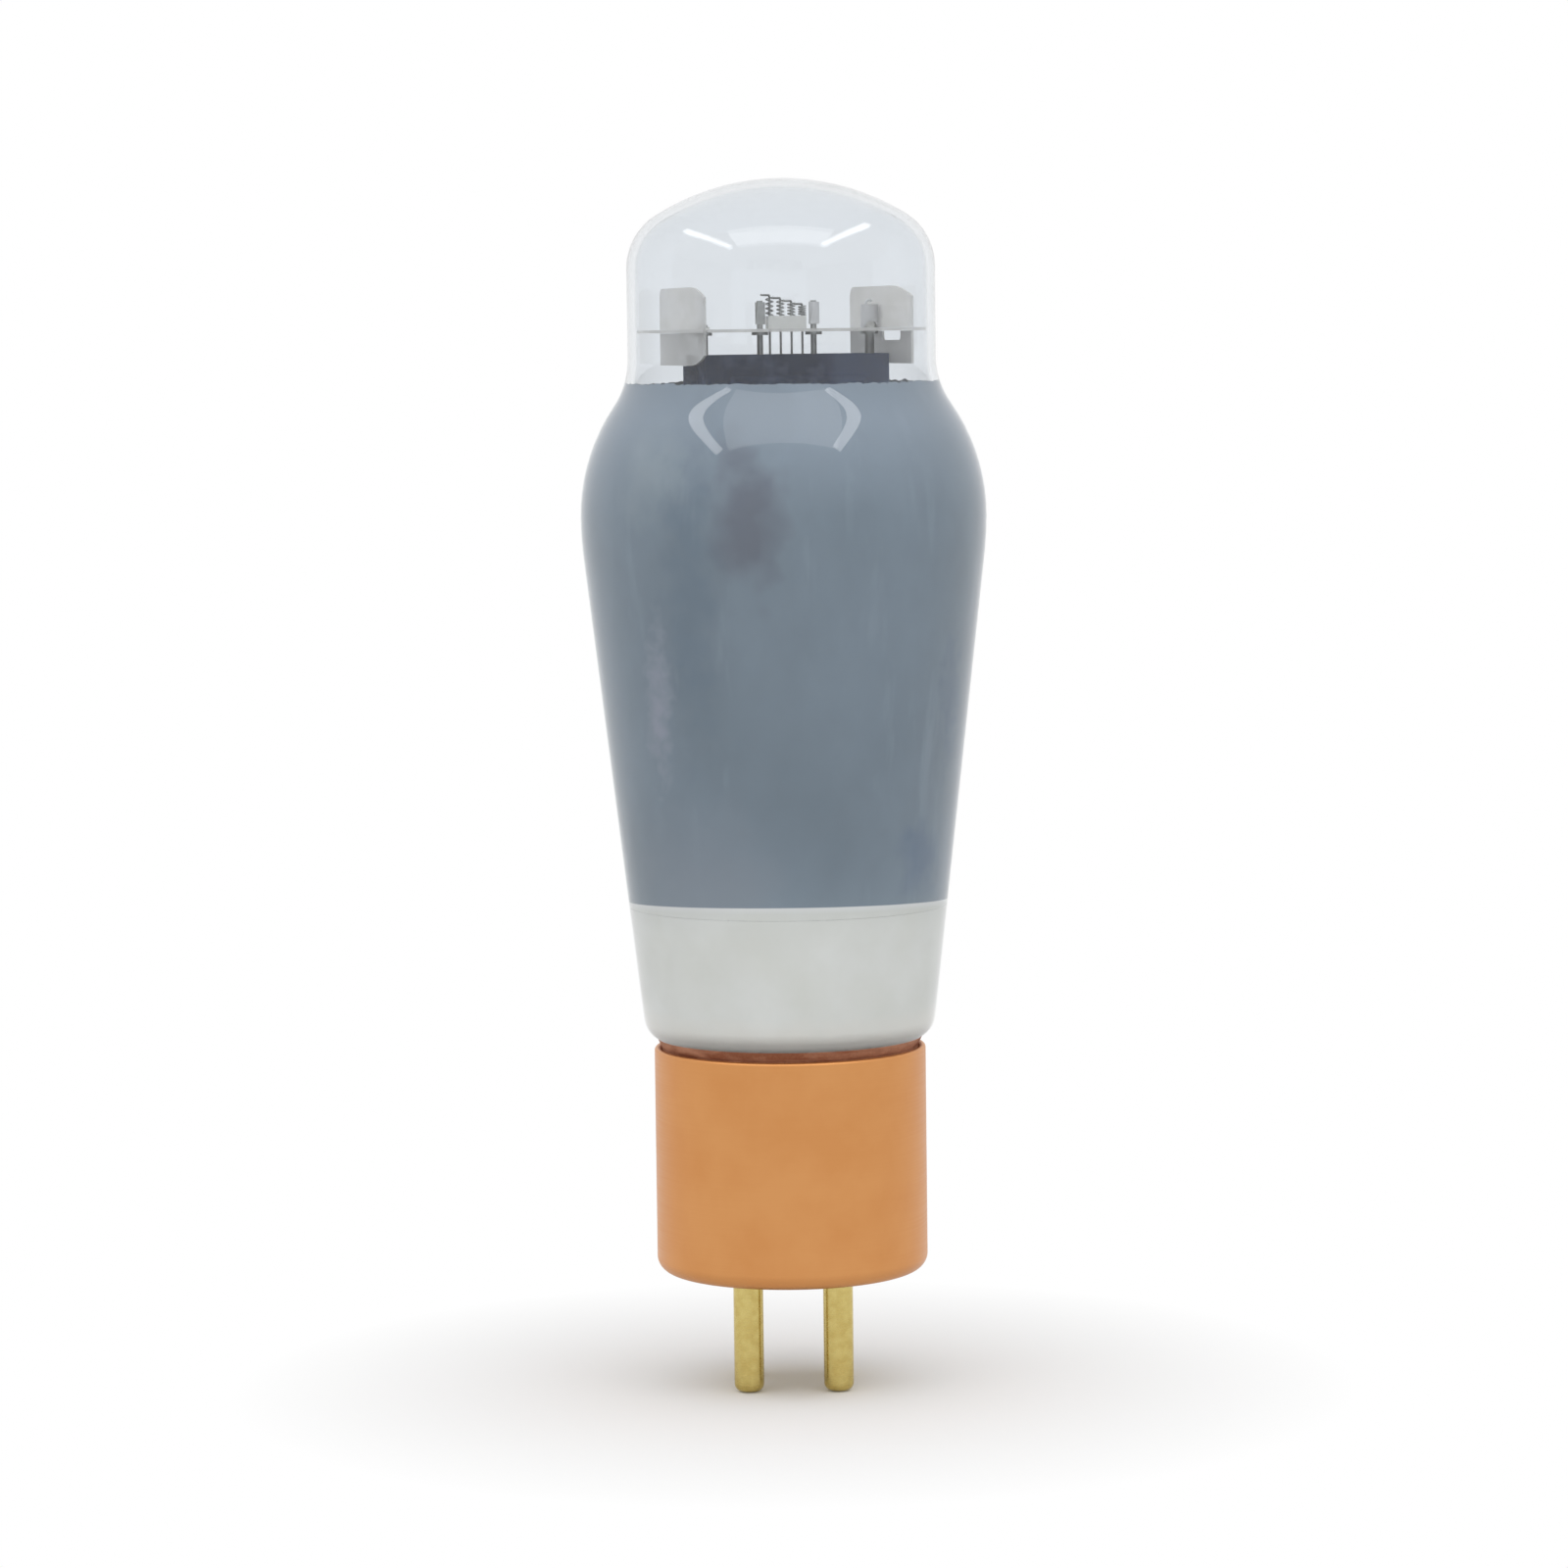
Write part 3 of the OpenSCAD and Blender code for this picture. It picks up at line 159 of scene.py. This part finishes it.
def linear(red, green, blue):
    """An sRGB colour from 0 to 255, as Blender's linear values with full alpha."""
    def one(value):
        part = value / 255
        return part / 12.92 if part <= 0.04045 else ((part + 0.055) / 1.055) ** 2.4
    return (one(red), one(green), one(blue), 1.0)


class Material:
    """A material's nodes, with pattern coordinates in millimetres on the object."""

    def __init__(self, name):
        self.data = bpy.data.materials.new(name)
        self.data.use_nodes = True
        self.nodes = self.data.node_tree.nodes
        self.links = self.data.node_tree.links
        self.nodes.clear()
        self.output = self.nodes.new("ShaderNodeOutputMaterial")
        self.shader = self.node("BsdfPrincipled")
        self.show(self.shader.outputs[0])
        place = self.node("TexCoord").outputs["Object"]
        self.place = self.vector_math("SCALE", {0: place, "Scale": 1 / MM}).outputs[0]

    def put(self, socket, value):
        if isinstance(value, bpy.types.NodeSocket):
            self.links.new(value, socket)
        else:
            socket.default_value = value

    def node(self, kind, inputs=None, **settings):
        made = self.nodes.new("ShaderNode" + kind)
        for name, value in settings.items():
            setattr(made, name, value)
        for key, value in (inputs or {}).items():
            self.put(made.inputs[key], value)
        return made

    def show(self, surface):
        self.links.new(surface, self.output.inputs["Surface"])

    def set(self, **inputs):
        """Sets the shader's sockets, with _ in place of a space."""
        for name, value in inputs.items():
            self.put(self.shader.inputs[name.replace("_", " ")], value)

    def math(self, operation, a, b):
        return self.node("Math", {0: a, 1: b}, operation=operation).outputs[0]

    def vector_math(self, operation, inputs):
        return self.node("VectorMath", inputs, operation=operation)

    def length(self, vector):
        return self.vector_math("LENGTH", {0: vector}).outputs["Value"]

    def axis(self, name):
        return self.node("SeparateXYZ", {"Vector": self.place}).outputs[name]

    def noise(self, size, detail=3.0, roughness=0.5, stretch=(1, 1, 1)):
        """Cloudy values round a half, in lumps of about size millimetres."""
        scale = [part / size for part in stretch]
        place = self.node("Mapping", {"Vector": self.place, "Scale": scale}).outputs[0]
        return self.node("TexNoise", {"Vector": place, "Scale": 1.0, "Detail": detail,
                                      "Roughness": roughness}).outputs[0]

    def spread(self, value, low, high, first=NOISE_RANGE[0], last=NOISE_RANGE[1]):
        """Maps values between first and last to low and high, and holds them there."""
        return self.node("MapRange", {"Value": value, "From Min": first, "From Max": last,
                                      "To Min": low, "To Max": high}).outputs[0]

    def clouds(self, size, **texture):
        """Noise that runs from nothing to one."""
        return self.spread(self.noise(size, **texture), 0.0, 1.0)

    def patch(self, centre, size, wander=0.35):
        """One inside a soft blob round a centre, with a cloudy outline, and nothing outside."""
        away = self.vector_math("SUBTRACT", {0: self.place, 1: centre}).outputs[0]
        reach = self.length(self.vector_math("DIVIDE", {0: away, 1: size}).outputs[0])
        rim = self.spread(self.noise(min(size)), -wander, wander, first=0.3, last=0.7)
        return self.spread(self.math("ADD", reach, rim), 1.0, 0.0, first=0.3, last=1.15)

    def mix(self, factor, first, last):
        """A colour between two, by the Mix node's sockets for colours."""
        made = self.node("Mix", data_type="RGBA")
        for index, value in ((0, factor), (6, first), (7, last)):
            self.put(made.inputs[index], value)
        return made.outputs[2]

    def mix_shader(self, factor, first, last):
        return self.node("MixShader", {0: factor, 1: first, 2: last}).outputs[0]

    def bump(self, height, depth):
        """Relief whose full range of height is depth millimetres."""
        made = self.node("Bump", {"Height": height, "Distance": depth * MM})
        self.set(Normal=made.outputs[0])


def box_heights(node):
    """The lowest and the highest point of a CAD node."""
    lowest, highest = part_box(node)
    return lowest.z, highest.z


def outline(node, centre):
    """A turned node's section: its rings as (radius, height) in order, and whether it closes."""
    mesh = frame["nodes"][node].data
    section = [Vector((math.hypot(v.co.x - centre[0], v.co.y - centre[1]), v.co.z, 0))
               for v in mesh.vertices]
    tree = kdtree.KDTree(len(section))
    for index, point in enumerate(section):
        tree.insert(point, index)
    tree.balance()
    ring_of = {}
    rings = []
    for index, point in enumerate(section):
        if index in ring_of:
            continue
        for _, other, _ in tree.find_range(point, RING_TOLERANCE):
            ring_of.setdefault(other, len(rings))
        rings.append((point.x, point.y))
    beside = [set() for _ in rings]
    for edge in mesh.edges:
        a, b = (ring_of[i] for i in edge.vertices)
        if a != b:
            beside[a].add(b)
            beside[b].add(a)
    ends = [i for i, near in enumerate(beside) if len(near) == 1]
    if any(len(near) not in (1, 2) for near in beside) or len(ends) not in (0, 2):
        raise ValueError(f"{node} is no plain turned piece round {centre}")
    order = [ends[0] if ends else 0]
    while True:
        onward = [i for i in sorted(beside[order[-1]]) if i not in order[-2:] and i != order[0]]
        if not onward:
            break
        order.append(onward[0])
    return [rings[i] for i in order], not ends


def with_next(items, closed):
    """Each item with the one after it, and the last with the first where they close."""
    return zip(items, items[1:] + items[:1] if closed else items[1:])


def divided(path, closed):
    """The path with its long straight stretches in equal parts."""
    points = []
    for start, end in with_next(path, closed):
        count = max(1, math.ceil(math.dist(start, end) / LONGEST_STRETCH))
        points += [(start[0] + (end[0] - start[0]) * k / count,
                    start[1] + (end[1] - start[1]) * k / count) for k in range(count)]
    return points if closed else points + [path[-1]]


def drawn_up(path, top):
    """The path with its upper end drawn on to a height, along the lines that lead there."""
    highest = max(height for _, height in path)
    made = []
    for i, (radius, height) in enumerate(path):
        if highest - height < RING_TOLERANCE:
            below = min(path[i - 1], path[(i + 1) % len(path)], key=lambda point: point[1])
            radius += (top - height) * (radius - below[0]) / (height - below[1])
            height = top
        made.append((radius, height))
    return made


def area(path):
    """The area inside a path, positive where the path runs anticlockwise."""
    return sum(a[0] * b[1] - b[0] * a[1] for a, b in with_next(path, True)) / 2


def on_axis(point):
    """Whether a point of a section lies on the axis, so that its ring is a single point."""
    return point[0] < RING_TOLERANCE


def sharp_rings(path, closed):
    """The numbers of the rings where a path turns by more than the sharp angle."""
    inside = range(len(path)) if closed else range(1, len(path) - 1)
    sharp = set()
    for i in inside:
        first = Vector(path[i]) - Vector(path[i - 1])
        last = Vector(path[(i + 1) % len(path)]) - Vector(path[i])
        if not on_axis(path[i]) and first.angle(last) > SHARP_ANGLE:
            sharp.add(i)
    return sharp


def soft_directions(path):
    """The way a path runs at each point, averaged along it but never past a sharp corner."""
    count = len(path)
    steps = [Vector(end) - Vector(start) for start, end in with_next(path, True)]
    directions = []
    for i in range(count):
        total = Vector((0, 0))
        for index, way in ((i, 1), (i - 1, -1)):
            away = 0.0
            while away < 3 * SOFTNESS:
                step = steps[index % count]
                middle = away + step.length / 2
                total += step * math.exp(-0.5 * (middle / SOFTNESS) ** 2)
                away += step.length
                index += way
                if step.angle(steps[index % count]) > SHARP_ANGLE:
                    break
        directions.append(total.normalized())
    return directions


def ring_points(path, centre):
    """All points of a path's rings, and the run of them that belongs to each ring."""
    points = []
    rings = []
    for point in path:
        reach, count = (0.0, 1) if on_axis(point) else (point[0], SEGMENTS)
        rings.append(range(len(points), len(points) + count))
        for k in range(count):
            turn = 2 * math.pi * k / SEGMENTS
            points.append((centre[0] + reach * math.cos(turn),
                           centre[1] + reach * math.sin(turn), point[1]))
    return points, rings


def ring_faces(rings, closed):
    """The faces from each ring to the next."""
    faces = []
    for upper, lower in with_next(rings, closed):
        for k in range(SEGMENTS):
            quad = [upper[k % len(upper)], upper[(k + 1) % len(upper)],
                    lower[(k + 1) % len(lower)], lower[k % len(lower)]]
            faces.append(list(dict.fromkeys(quad)))
    return faces


def soft_normals(mesh, path, rings, ring_of, sharp):
    """A normal for each face's corners from the path's soft directions, left open if sharp."""
    directions = soft_directions(path)
    normals = []
    for loop in mesh.loops:
        ring = ring_of[loop.vertex_index]
        if on_axis(path[ring]) or ring in sharp:
            normals.append((0, 0, 0))
            continue
        way = directions[ring]
        turn = 2 * math.pi * (loop.vertex_index - rings[ring][0]) / SEGMENTS
        normals.append((way.y * math.cos(turn), way.y * math.sin(turn), -way.x))
    return normals


def turned(name, path, closed, centre, soft):
    """A mesh turned from a path of (radius, height), smooth but for its sharp corners.

    Where it is soft, its shading turns gently where two arcs of the path meet, as on blown glass.
    """
    if area(path) < 0:
        path = path[::-1]
    points, rings = ring_points(path, centre)
    mesh = bpy.data.meshes.new(name)
    mesh.from_pydata(points, [], ring_faces(rings, closed))
    mesh.validate()
    sharp = sharp_rings(path, closed)
    ring_of = {point: number for number, ring in enumerate(rings) for point in ring}
    for edge in mesh.edges:
        a, b = (ring_of[point] for point in edge.vertices)
        edge.use_edge_sharp = a == b and a in sharp
    mesh.polygons.foreach_set("use_smooth", [True] * len(mesh.polygons))
    if soft:
        mesh.normals_split_custom_set(soft_normals(mesh, path, rings, ring_of, sharp))
    made = bpy.data.objects.new(name, mesh)
    bpy.context.scene.collection.objects.link(made)
    return made


def turned_copy(node, material, centre=(0.0, 0.0), bond=0.0, soft=False, top=None):
    """A smooth turned mesh in place of a turned CAD node, which bites into the glass by bond."""
    path, closed = outline(node, centre)
    if top is not None:
        path = drawn_up(path, top)
    path = [(radius + bond, height) for radius, height in path]
    made = turned(node + "_smooth", divided(path, closed), closed, centre, soft)
    made.data.materials.append(material)
    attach(made, "root")
    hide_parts(node)


def make_camera():
    data = bpy.data.cameras.new("camera")
    data.lens = LENS
    data.sensor_width = SENSOR
    data.clip_start = CLIP_NEAR
    data.clip_end = CLIP_FAR
    camera = bpy.data.objects.new("camera", data)
    back = Vector((0, -math.cos(PITCH), math.sin(PITCH)))
    camera.location = AIM + DISTANCE * back
    turn = (-back).to_track_quat("-Z", "Y") @ Quaternion((0, 0, 1), -ROLL)
    camera.rotation_euler = turn.to_euler()
    bpy.context.scene.collection.objects.link(camera)
    bpy.context.scene.camera = camera


def seen_directly(nodes, links):
    """One for the rays that show the studio itself: camera, glossy and transmission rays."""
    path = nodes.new("ShaderNodeLightPath").outputs
    seen = path["Is Camera Ray"]
    for ray in ("Is Glossy Ray", "Is Transmission Ray"):
        either = nodes.new("ShaderNodeMath")
        either.operation = "MAXIMUM"
        links.new(seen, either.inputs[0])
        links.new(path[ray], either.inputs[1])
        seen = either.outputs[0]
    return seen


def floor_white():
    """Matt white that shows as plain white away from the object, and its shadow beside it."""
    m = Material("floor_white")
    m.set(Base_Color=linear(*FLOOR_TONE), Roughness=0.9, Specular_IOR_Level=0.1)
    white = m.node("Emission", {"Color": (1, 1, 1, 1), "Strength": 1.0}).outputs[0]
    spot = m.vector_math("MULTIPLY", {0: m.place, 1: (1, 1, 0)}).outputs[0]
    away = m.spread(m.length(spot), 0.0, 1.0, first=SHADOW_NEAR / MM, last=SHADOW_FAR / MM)
    factor = m.math("MULTIPLY", seen_directly(m.nodes, m.links), away)
    m.show(m.mix_shader(factor, m.shader.outputs[0], white))
    return m.data


def make_floor():
    mesh = bpy.data.meshes.new("floor")
    corners = [(x * FLOOR_HALF, y * FLOOR_HALF, -FLOOR_DROP)
               for x, y in ((-1, -1), (1, -1), (1, 1), (-1, 1))]
    mesh.from_pydata(corners, [], [(0, 1, 2, 3)])
    mesh.materials.append(floor_white())
    made = bpy.data.objects.new("floor", mesh)
    bpy.context.scene.collection.objects.link(made)


def make_world():
    """White where it is seen, and a soft even light elsewhere."""
    world = bpy.data.worlds.new("world")
    world.use_nodes = True
    nodes, links = world.node_tree.nodes, world.node_tree.links
    level = nodes.new("ShaderNodeMapRange")
    level.inputs["To Min"].default_value = WORLD_LEVEL
    level.inputs["To Max"].default_value = 1.0
    links.new(seen_directly(nodes, links), level.inputs["Value"])
    links.new(level.outputs[0], nodes["Background"].inputs["Strength"])
    nodes["Background"].inputs["Color"].default_value = (1, 1, 1, 1)
    bpy.context.scene.world = world


def lamp(name, x, front, rear, width, radiance):
    """A long lamp overhead, from front to rear, that looks at the bulb's shoulder."""
    length = rear - front
    centre = Vector((x, (front + rear) / 2, LAMP_HEIGHT))
    data = bpy.data.lights.new(name, "AREA")
    data.shape = "RECTANGLE"
    data.size = width
    data.size_y = length
    data.energy = radiance * math.pi * width * length
    back = (centre - SHOULDER).normalized()
    across = Vector((0, 1, 0)).cross(back).normalized()
    along = back.cross(across)
    turn = Matrix((across, along, back)).transposed().to_4x4()
    made = bpy.data.objects.new(name, data)
    made.matrix_world = Matrix.Translation(centre) @ turn
    made.visible_camera = False
    bpy.context.scene.collection.objects.link(made)


def make_studio():
    bpy.context.scene.view_settings.view_transform = "Standard"
    make_world()
    make_floor()
    for name, x in STRIP_PLACES.items():
        lamp(name, x, STRIP_FRONT, STRIP_REAR, STRIP_WIDTH, STRIP_RADIANCE)
    lamp("panel", 0, PANEL_FRONT, PANEL_REAR, PANEL_WIDTH, PANEL_RADIANCE)


def glass():
    """Clear glass, greyer where it is seen at a slant, which lets the lamps' light straight in."""
    m = Material("clear_glass")
    facing = m.node("LayerWeight", {"Blend": 0.5}).outputs["Facing"]
    slant = m.spread(facing, 0.0, 1.0, first=0.4, last=0.95)
    tinted = m.math("MULTIPLY", slant, m.spread(m.axis("Z"), 0.0, 1.0, *CLEAR_FOOT))
    tint = m.mix(tinted, linear(237, 240, 243), linear(218, 223, 227))
    m.set(Base_Color=tint, Transmission_Weight=1.0, IOR=1.5,
          Roughness=m.spread(m.noise(14), 0.0, 0.012))
    m.bump(m.noise(11, detail=1.0), depth=0.012)
    clear = m.node("BsdfTransparent", {"Color": linear(244, 246, 247)}).outputs[0]
    shadow_ray = m.node("LightPath").outputs["Is Shadow Ray"]
    m.show(m.mix_shader(shadow_ray, m.shader.outputs[0], clear))
    return m.data


def silver(m):
    """Share and colour of the silver film: bright along its upper edge, with painted copper glow
    at its foot.
    """
    level = m.math("ADD", m.axis("Z"), m.math("MULTIPLY", m.axis("Y"), SILVER_FALL))
    colour = m.mix(m.clouds(9, detail=4.0), linear(243, 243, 236), linear(249, 249, 244))
    foot = box_heights("getter_mirror")[0] / MM
    # Painted light: warm light from the copper base, painted on the foot and fading upwards
    wandering = m.math("ADD", m.axis("Z"), m.spread(m.noise(3), -1, 1, first=0, last=1))
    copper_glow = m.spread(wandering, 1.0, 0.0, first=foot, last=foot + SILVER_COPPER_GLOW)
    colour = m.mix(copper_glow, colour, linear(254, 248, 238))
    line_end, line_start = SILVER_LINE
    line = m.spread(level, 0.0, 1.0, first=SILVER_TOP - line_end, last=SILVER_TOP - line_start)
    colour = m.mix(line, colour, linear(252, 252, 249))
    share = m.spread(level, 1.0, 0.0, first=SILVER_TOP - SILVER_BLUR,
                     last=SILVER_TOP + SILVER_BLUR)
    return share, colour


def coating():
    """Blue-grey film, cloudy, with a ragged upper edge and a foot under the silver film."""
    m = Material("dark_film")
    clouds = m.clouds(17, detail=4.0, roughness=0.6, stretch=(1, 1, 0.55))
    colour = m.mix(clouds, linear(132, 147, 159), linear(145, 160, 173))
    streak_noise = m.noise(5, detail=5.0, roughness=0.65, stretch=(1, 1, 0.16))
    streaks = m.spread(streak_noise, 0.0, 0.5, first=0.58, last=0.78)
    colour = m.mix(streaks, colour, linear(166, 179, 192))
    # Painted light: the shoulder turns paler towards the top, where the lamps above fall on it
    shoulder = m.spread(m.axis("Z"), 0.0, 0.5, *SHOULDER_PAINTED_LIGHT)
    colour = m.mix(shoulder, colour, linear(164, 175, 188))
    # Paints the highlights and darker places on the front of the film
    for centre, size, share, tint in COATING_PAINTED_PLACES:
        colour = m.mix(m.math("MULTIPLY", m.patch(centre, size), share), colour, linear(*tint))
    covered, silver_colour = silver(m)
    colour = m.mix(covered, colour, silver_colour)
    edge = box_heights("dark_coating")[1] / MM - EDGE_RAG
    edge_noise = m.noise(1.8, detail=5.0, roughness=0.6)
    ragged = m.spread(edge_noise, -EDGE_RAG, EDGE_RAG, first=0.3, last=0.7)
    height = m.math("ADD", m.axis("Z"), ragged)
    m.set(Base_Color=colour, Metallic=m.math("MULTIPLY", covered, SILVER_METALLIC),
          Roughness=m.spread(m.noise(8), 0.42, 0.58), Specular_IOR_Level=0.25,
          Alpha=m.spread(height, 1.0, 0.0, first=edge - EDGE_BLUR, last=edge))
    m.bump(m.noise(1.1, detail=4.0), depth=0.01)
    return m.data


def mirror_film():
    """Silvery film, matt where it turns in at its foot."""
    m = Material("silver_film")
    _, colour = silver(m)
    foot = box_heights("getter_mirror")[0] / MM
    first, last = (foot + rise for rise in SILVER_MATT)
    metallic = m.spread(m.axis("Z"), 0.0, SILVER_METALLIC, first, last)
    m.set(Base_Color=colour, Metallic=metallic, Roughness=m.spread(m.noise(4), 0.38, 0.5))
    m.bump(m.noise(0.8, detail=4.0), depth=0.006)
    return m.data


def cement():
    """Brown cement, grainy and stained."""
    m = Material("brown_cement")
    grains = m.noise(0.35, detail=6.0, roughness=0.7)
    stain_noise = m.noise(3, detail=4.0, stretch=(0.6, 0.6, 2))
    stains = m.spread(stain_noise, 0.0, 0.7, first=0.4, last=0.6)
    shade = m.math("ADD", stains, m.spread(grains, 0.0, 0.3))
    m.set(Base_Color=m.mix(shade, linear(136, 74, 42), linear(194, 138, 108)),
          Roughness=m.spread(grains, 0.75, 0.95))
    m.bump(grains, depth=0.06)
    return m.data


def copper():
    """Satin copper with the fine lines of turning and a faint cloudiness."""
    m = Material("satin_copper")
    lines = m.noise(0.12, detail=3.0, stretch=(0.012, 0.012, 1))
    clouds = m.clouds(7, detail=4.0)
    haze = m.math("MULTIPLY", clouds, 0.05)
    m.set(Base_Color=m.mix(clouds, linear(210, 146, 88), linear(215, 153, 95)), Metallic=0.9,
          Roughness=m.math("ADD", m.spread(lines, 0.34, 0.4), haze))
    m.bump(lines, depth=0.002)
    return m.data


def wafer():
    """Pale pressed board with fine specks."""
    m = Material("pale_wafer")
    specks = m.noise(0.25, detail=5.0, roughness=0.7)
    colour = m.mix(m.spread(specks, 0.0, 1.0), linear(206, 200, 184), linear(226, 221, 208))
    m.set(Base_Color=colour, Roughness=m.spread(specks, 0.5, 0.7))
    m.bump(specks, depth=0.02)
    return m.data


def metal(name, dark, light, metallic, roughness, grain, relief, stretch=(1, 1, 1)):
    """A metal with a grain of its own size, which varies its colour, gloss and relief."""
    m = Material(name)
    lines = m.noise(grain, detail=4.0, roughness=0.6, stretch=stretch)
    stains = m.clouds(grain * STAIN_RATIO)
    m.set(Base_Color=m.mix(stains, linear(*dark), linear(*light)), Metallic=metallic,
          Roughness=m.spread(lines, *roughness))
    m.bump(lines, depth=relief)
    return m.data


def ceramic():
    """White ceramic with fine specks."""
    m = Material("white_ceramic")
    specks = m.noise(0.12, detail=4.0)
    colour = m.mix(m.spread(specks, 0.0, 1.0), linear(198, 198, 195), linear(214, 214, 210))
    m.set(Base_Color=colour, Roughness=m.spread(specks, 0.3, 0.5))
    m.bump(specks, depth=0.004)
    return m.data


def mica():
    """Pearly sheet that lets some light through, with faint layers and flaws."""
    m = Material("pearly_mica")
    flakes = m.clouds(5, detail=4.0, stretch=(0.4, 0.4, 1))
    m.set(Base_Color=m.mix(flakes, linear(226, 222, 216), linear(236, 234, 231)),
          Roughness=m.spread(m.noise(4), 0.3, 0.4),
          Alpha=m.spread(flakes, 0.62, 0.7, first=0, last=1))
    m.bump(m.noise(6, detail=2.0), depth=0.006)
    return m.data


def carbonised_nickel():
    """Navy-black sheet, paler to the right, and grey above the top mica, where it stays cool."""
    m = Material("carbonised_nickel")
    grain = m.noise(0.25, detail=4.0, roughness=0.6)
    patches = m.spread(m.noise(3.4, detail=4.0, roughness=0.6), 0.0, 0.6, first=0.45, last=0.65)
    paler = m.math("MAXIMUM", patches, m.spread(m.axis("X"), 0.0, 0.9, *ANODE_PALE))
    navy = m.mix(paler, linear(30, 54, 94), linear(96, 114, 150))
    grey = m.mix(patches, linear(196, 196, 197), linear(210, 210, 211))
    mica_foot = box_heights("top_mica")[0] / MM
    cool = m.spread(m.axis("Z"), 0.0, 1.0, first=mica_foot - ANODE_GREY, last=mica_foot)
    m.set(Base_Color=m.mix(cool, navy, grey), Metallic=0.1,
          Roughness=m.spread(grain, 0.6, 0.75), Specular_IOR_Level=0.15)
    m.bump(grain, depth=0.01)
    return m.data


def finishes():
    """The material of each of the record's slots."""
    made = {slot: metal(**look) for slot, look in METALS.items()}
    made.update({
        "glass": glass(),
        "coating": coating(),
        "mirror_film": mirror_film(),
        "cement": cement(),
        "copper": copper(),
        "wafer": wafer(),
        "carbonised_nickel": carbonised_nickel(),
        "ceramic": ceramic(),
        "mica": mica(),
    })
    return made


def dress_nodes(materials):
    """Gives every CAD node the material of its slot."""
    for node in frame["nodes"].values():
        for place in node.material_slots:
            place.material = materials[place.material.name]


def dress_turned_pieces(materials):
    """Puts smooth meshes in place of the bulb, its films, the cement, the base and the pins."""
    turned_copy("glass_bulb", materials["glass"], soft=True)
    turned_copy("dark_coating", materials["coating"], bond=FILM_BOND, soft=True)
    turned_copy("getter_mirror", materials["mirror_film"], bond=FILM_BOND,
                top=box_heights("dark_coating")[0] - FILM_BOND)
    turned_copy("base_cement", materials["cement"])
    turned_copy("base_shell", materials["copper"])
    for mount in frame["record"]["mounts"]:
        pin = next(n for n in frame["nodes"] if n.startswith(mount["name"] + "_"))
        turned_copy(pin, materials["brass"], centre=mount["pos_m"][:2])


make_camera()
make_studio()
materials = finishes()
dress_nodes(materials)
dress_turned_pieces(materials)
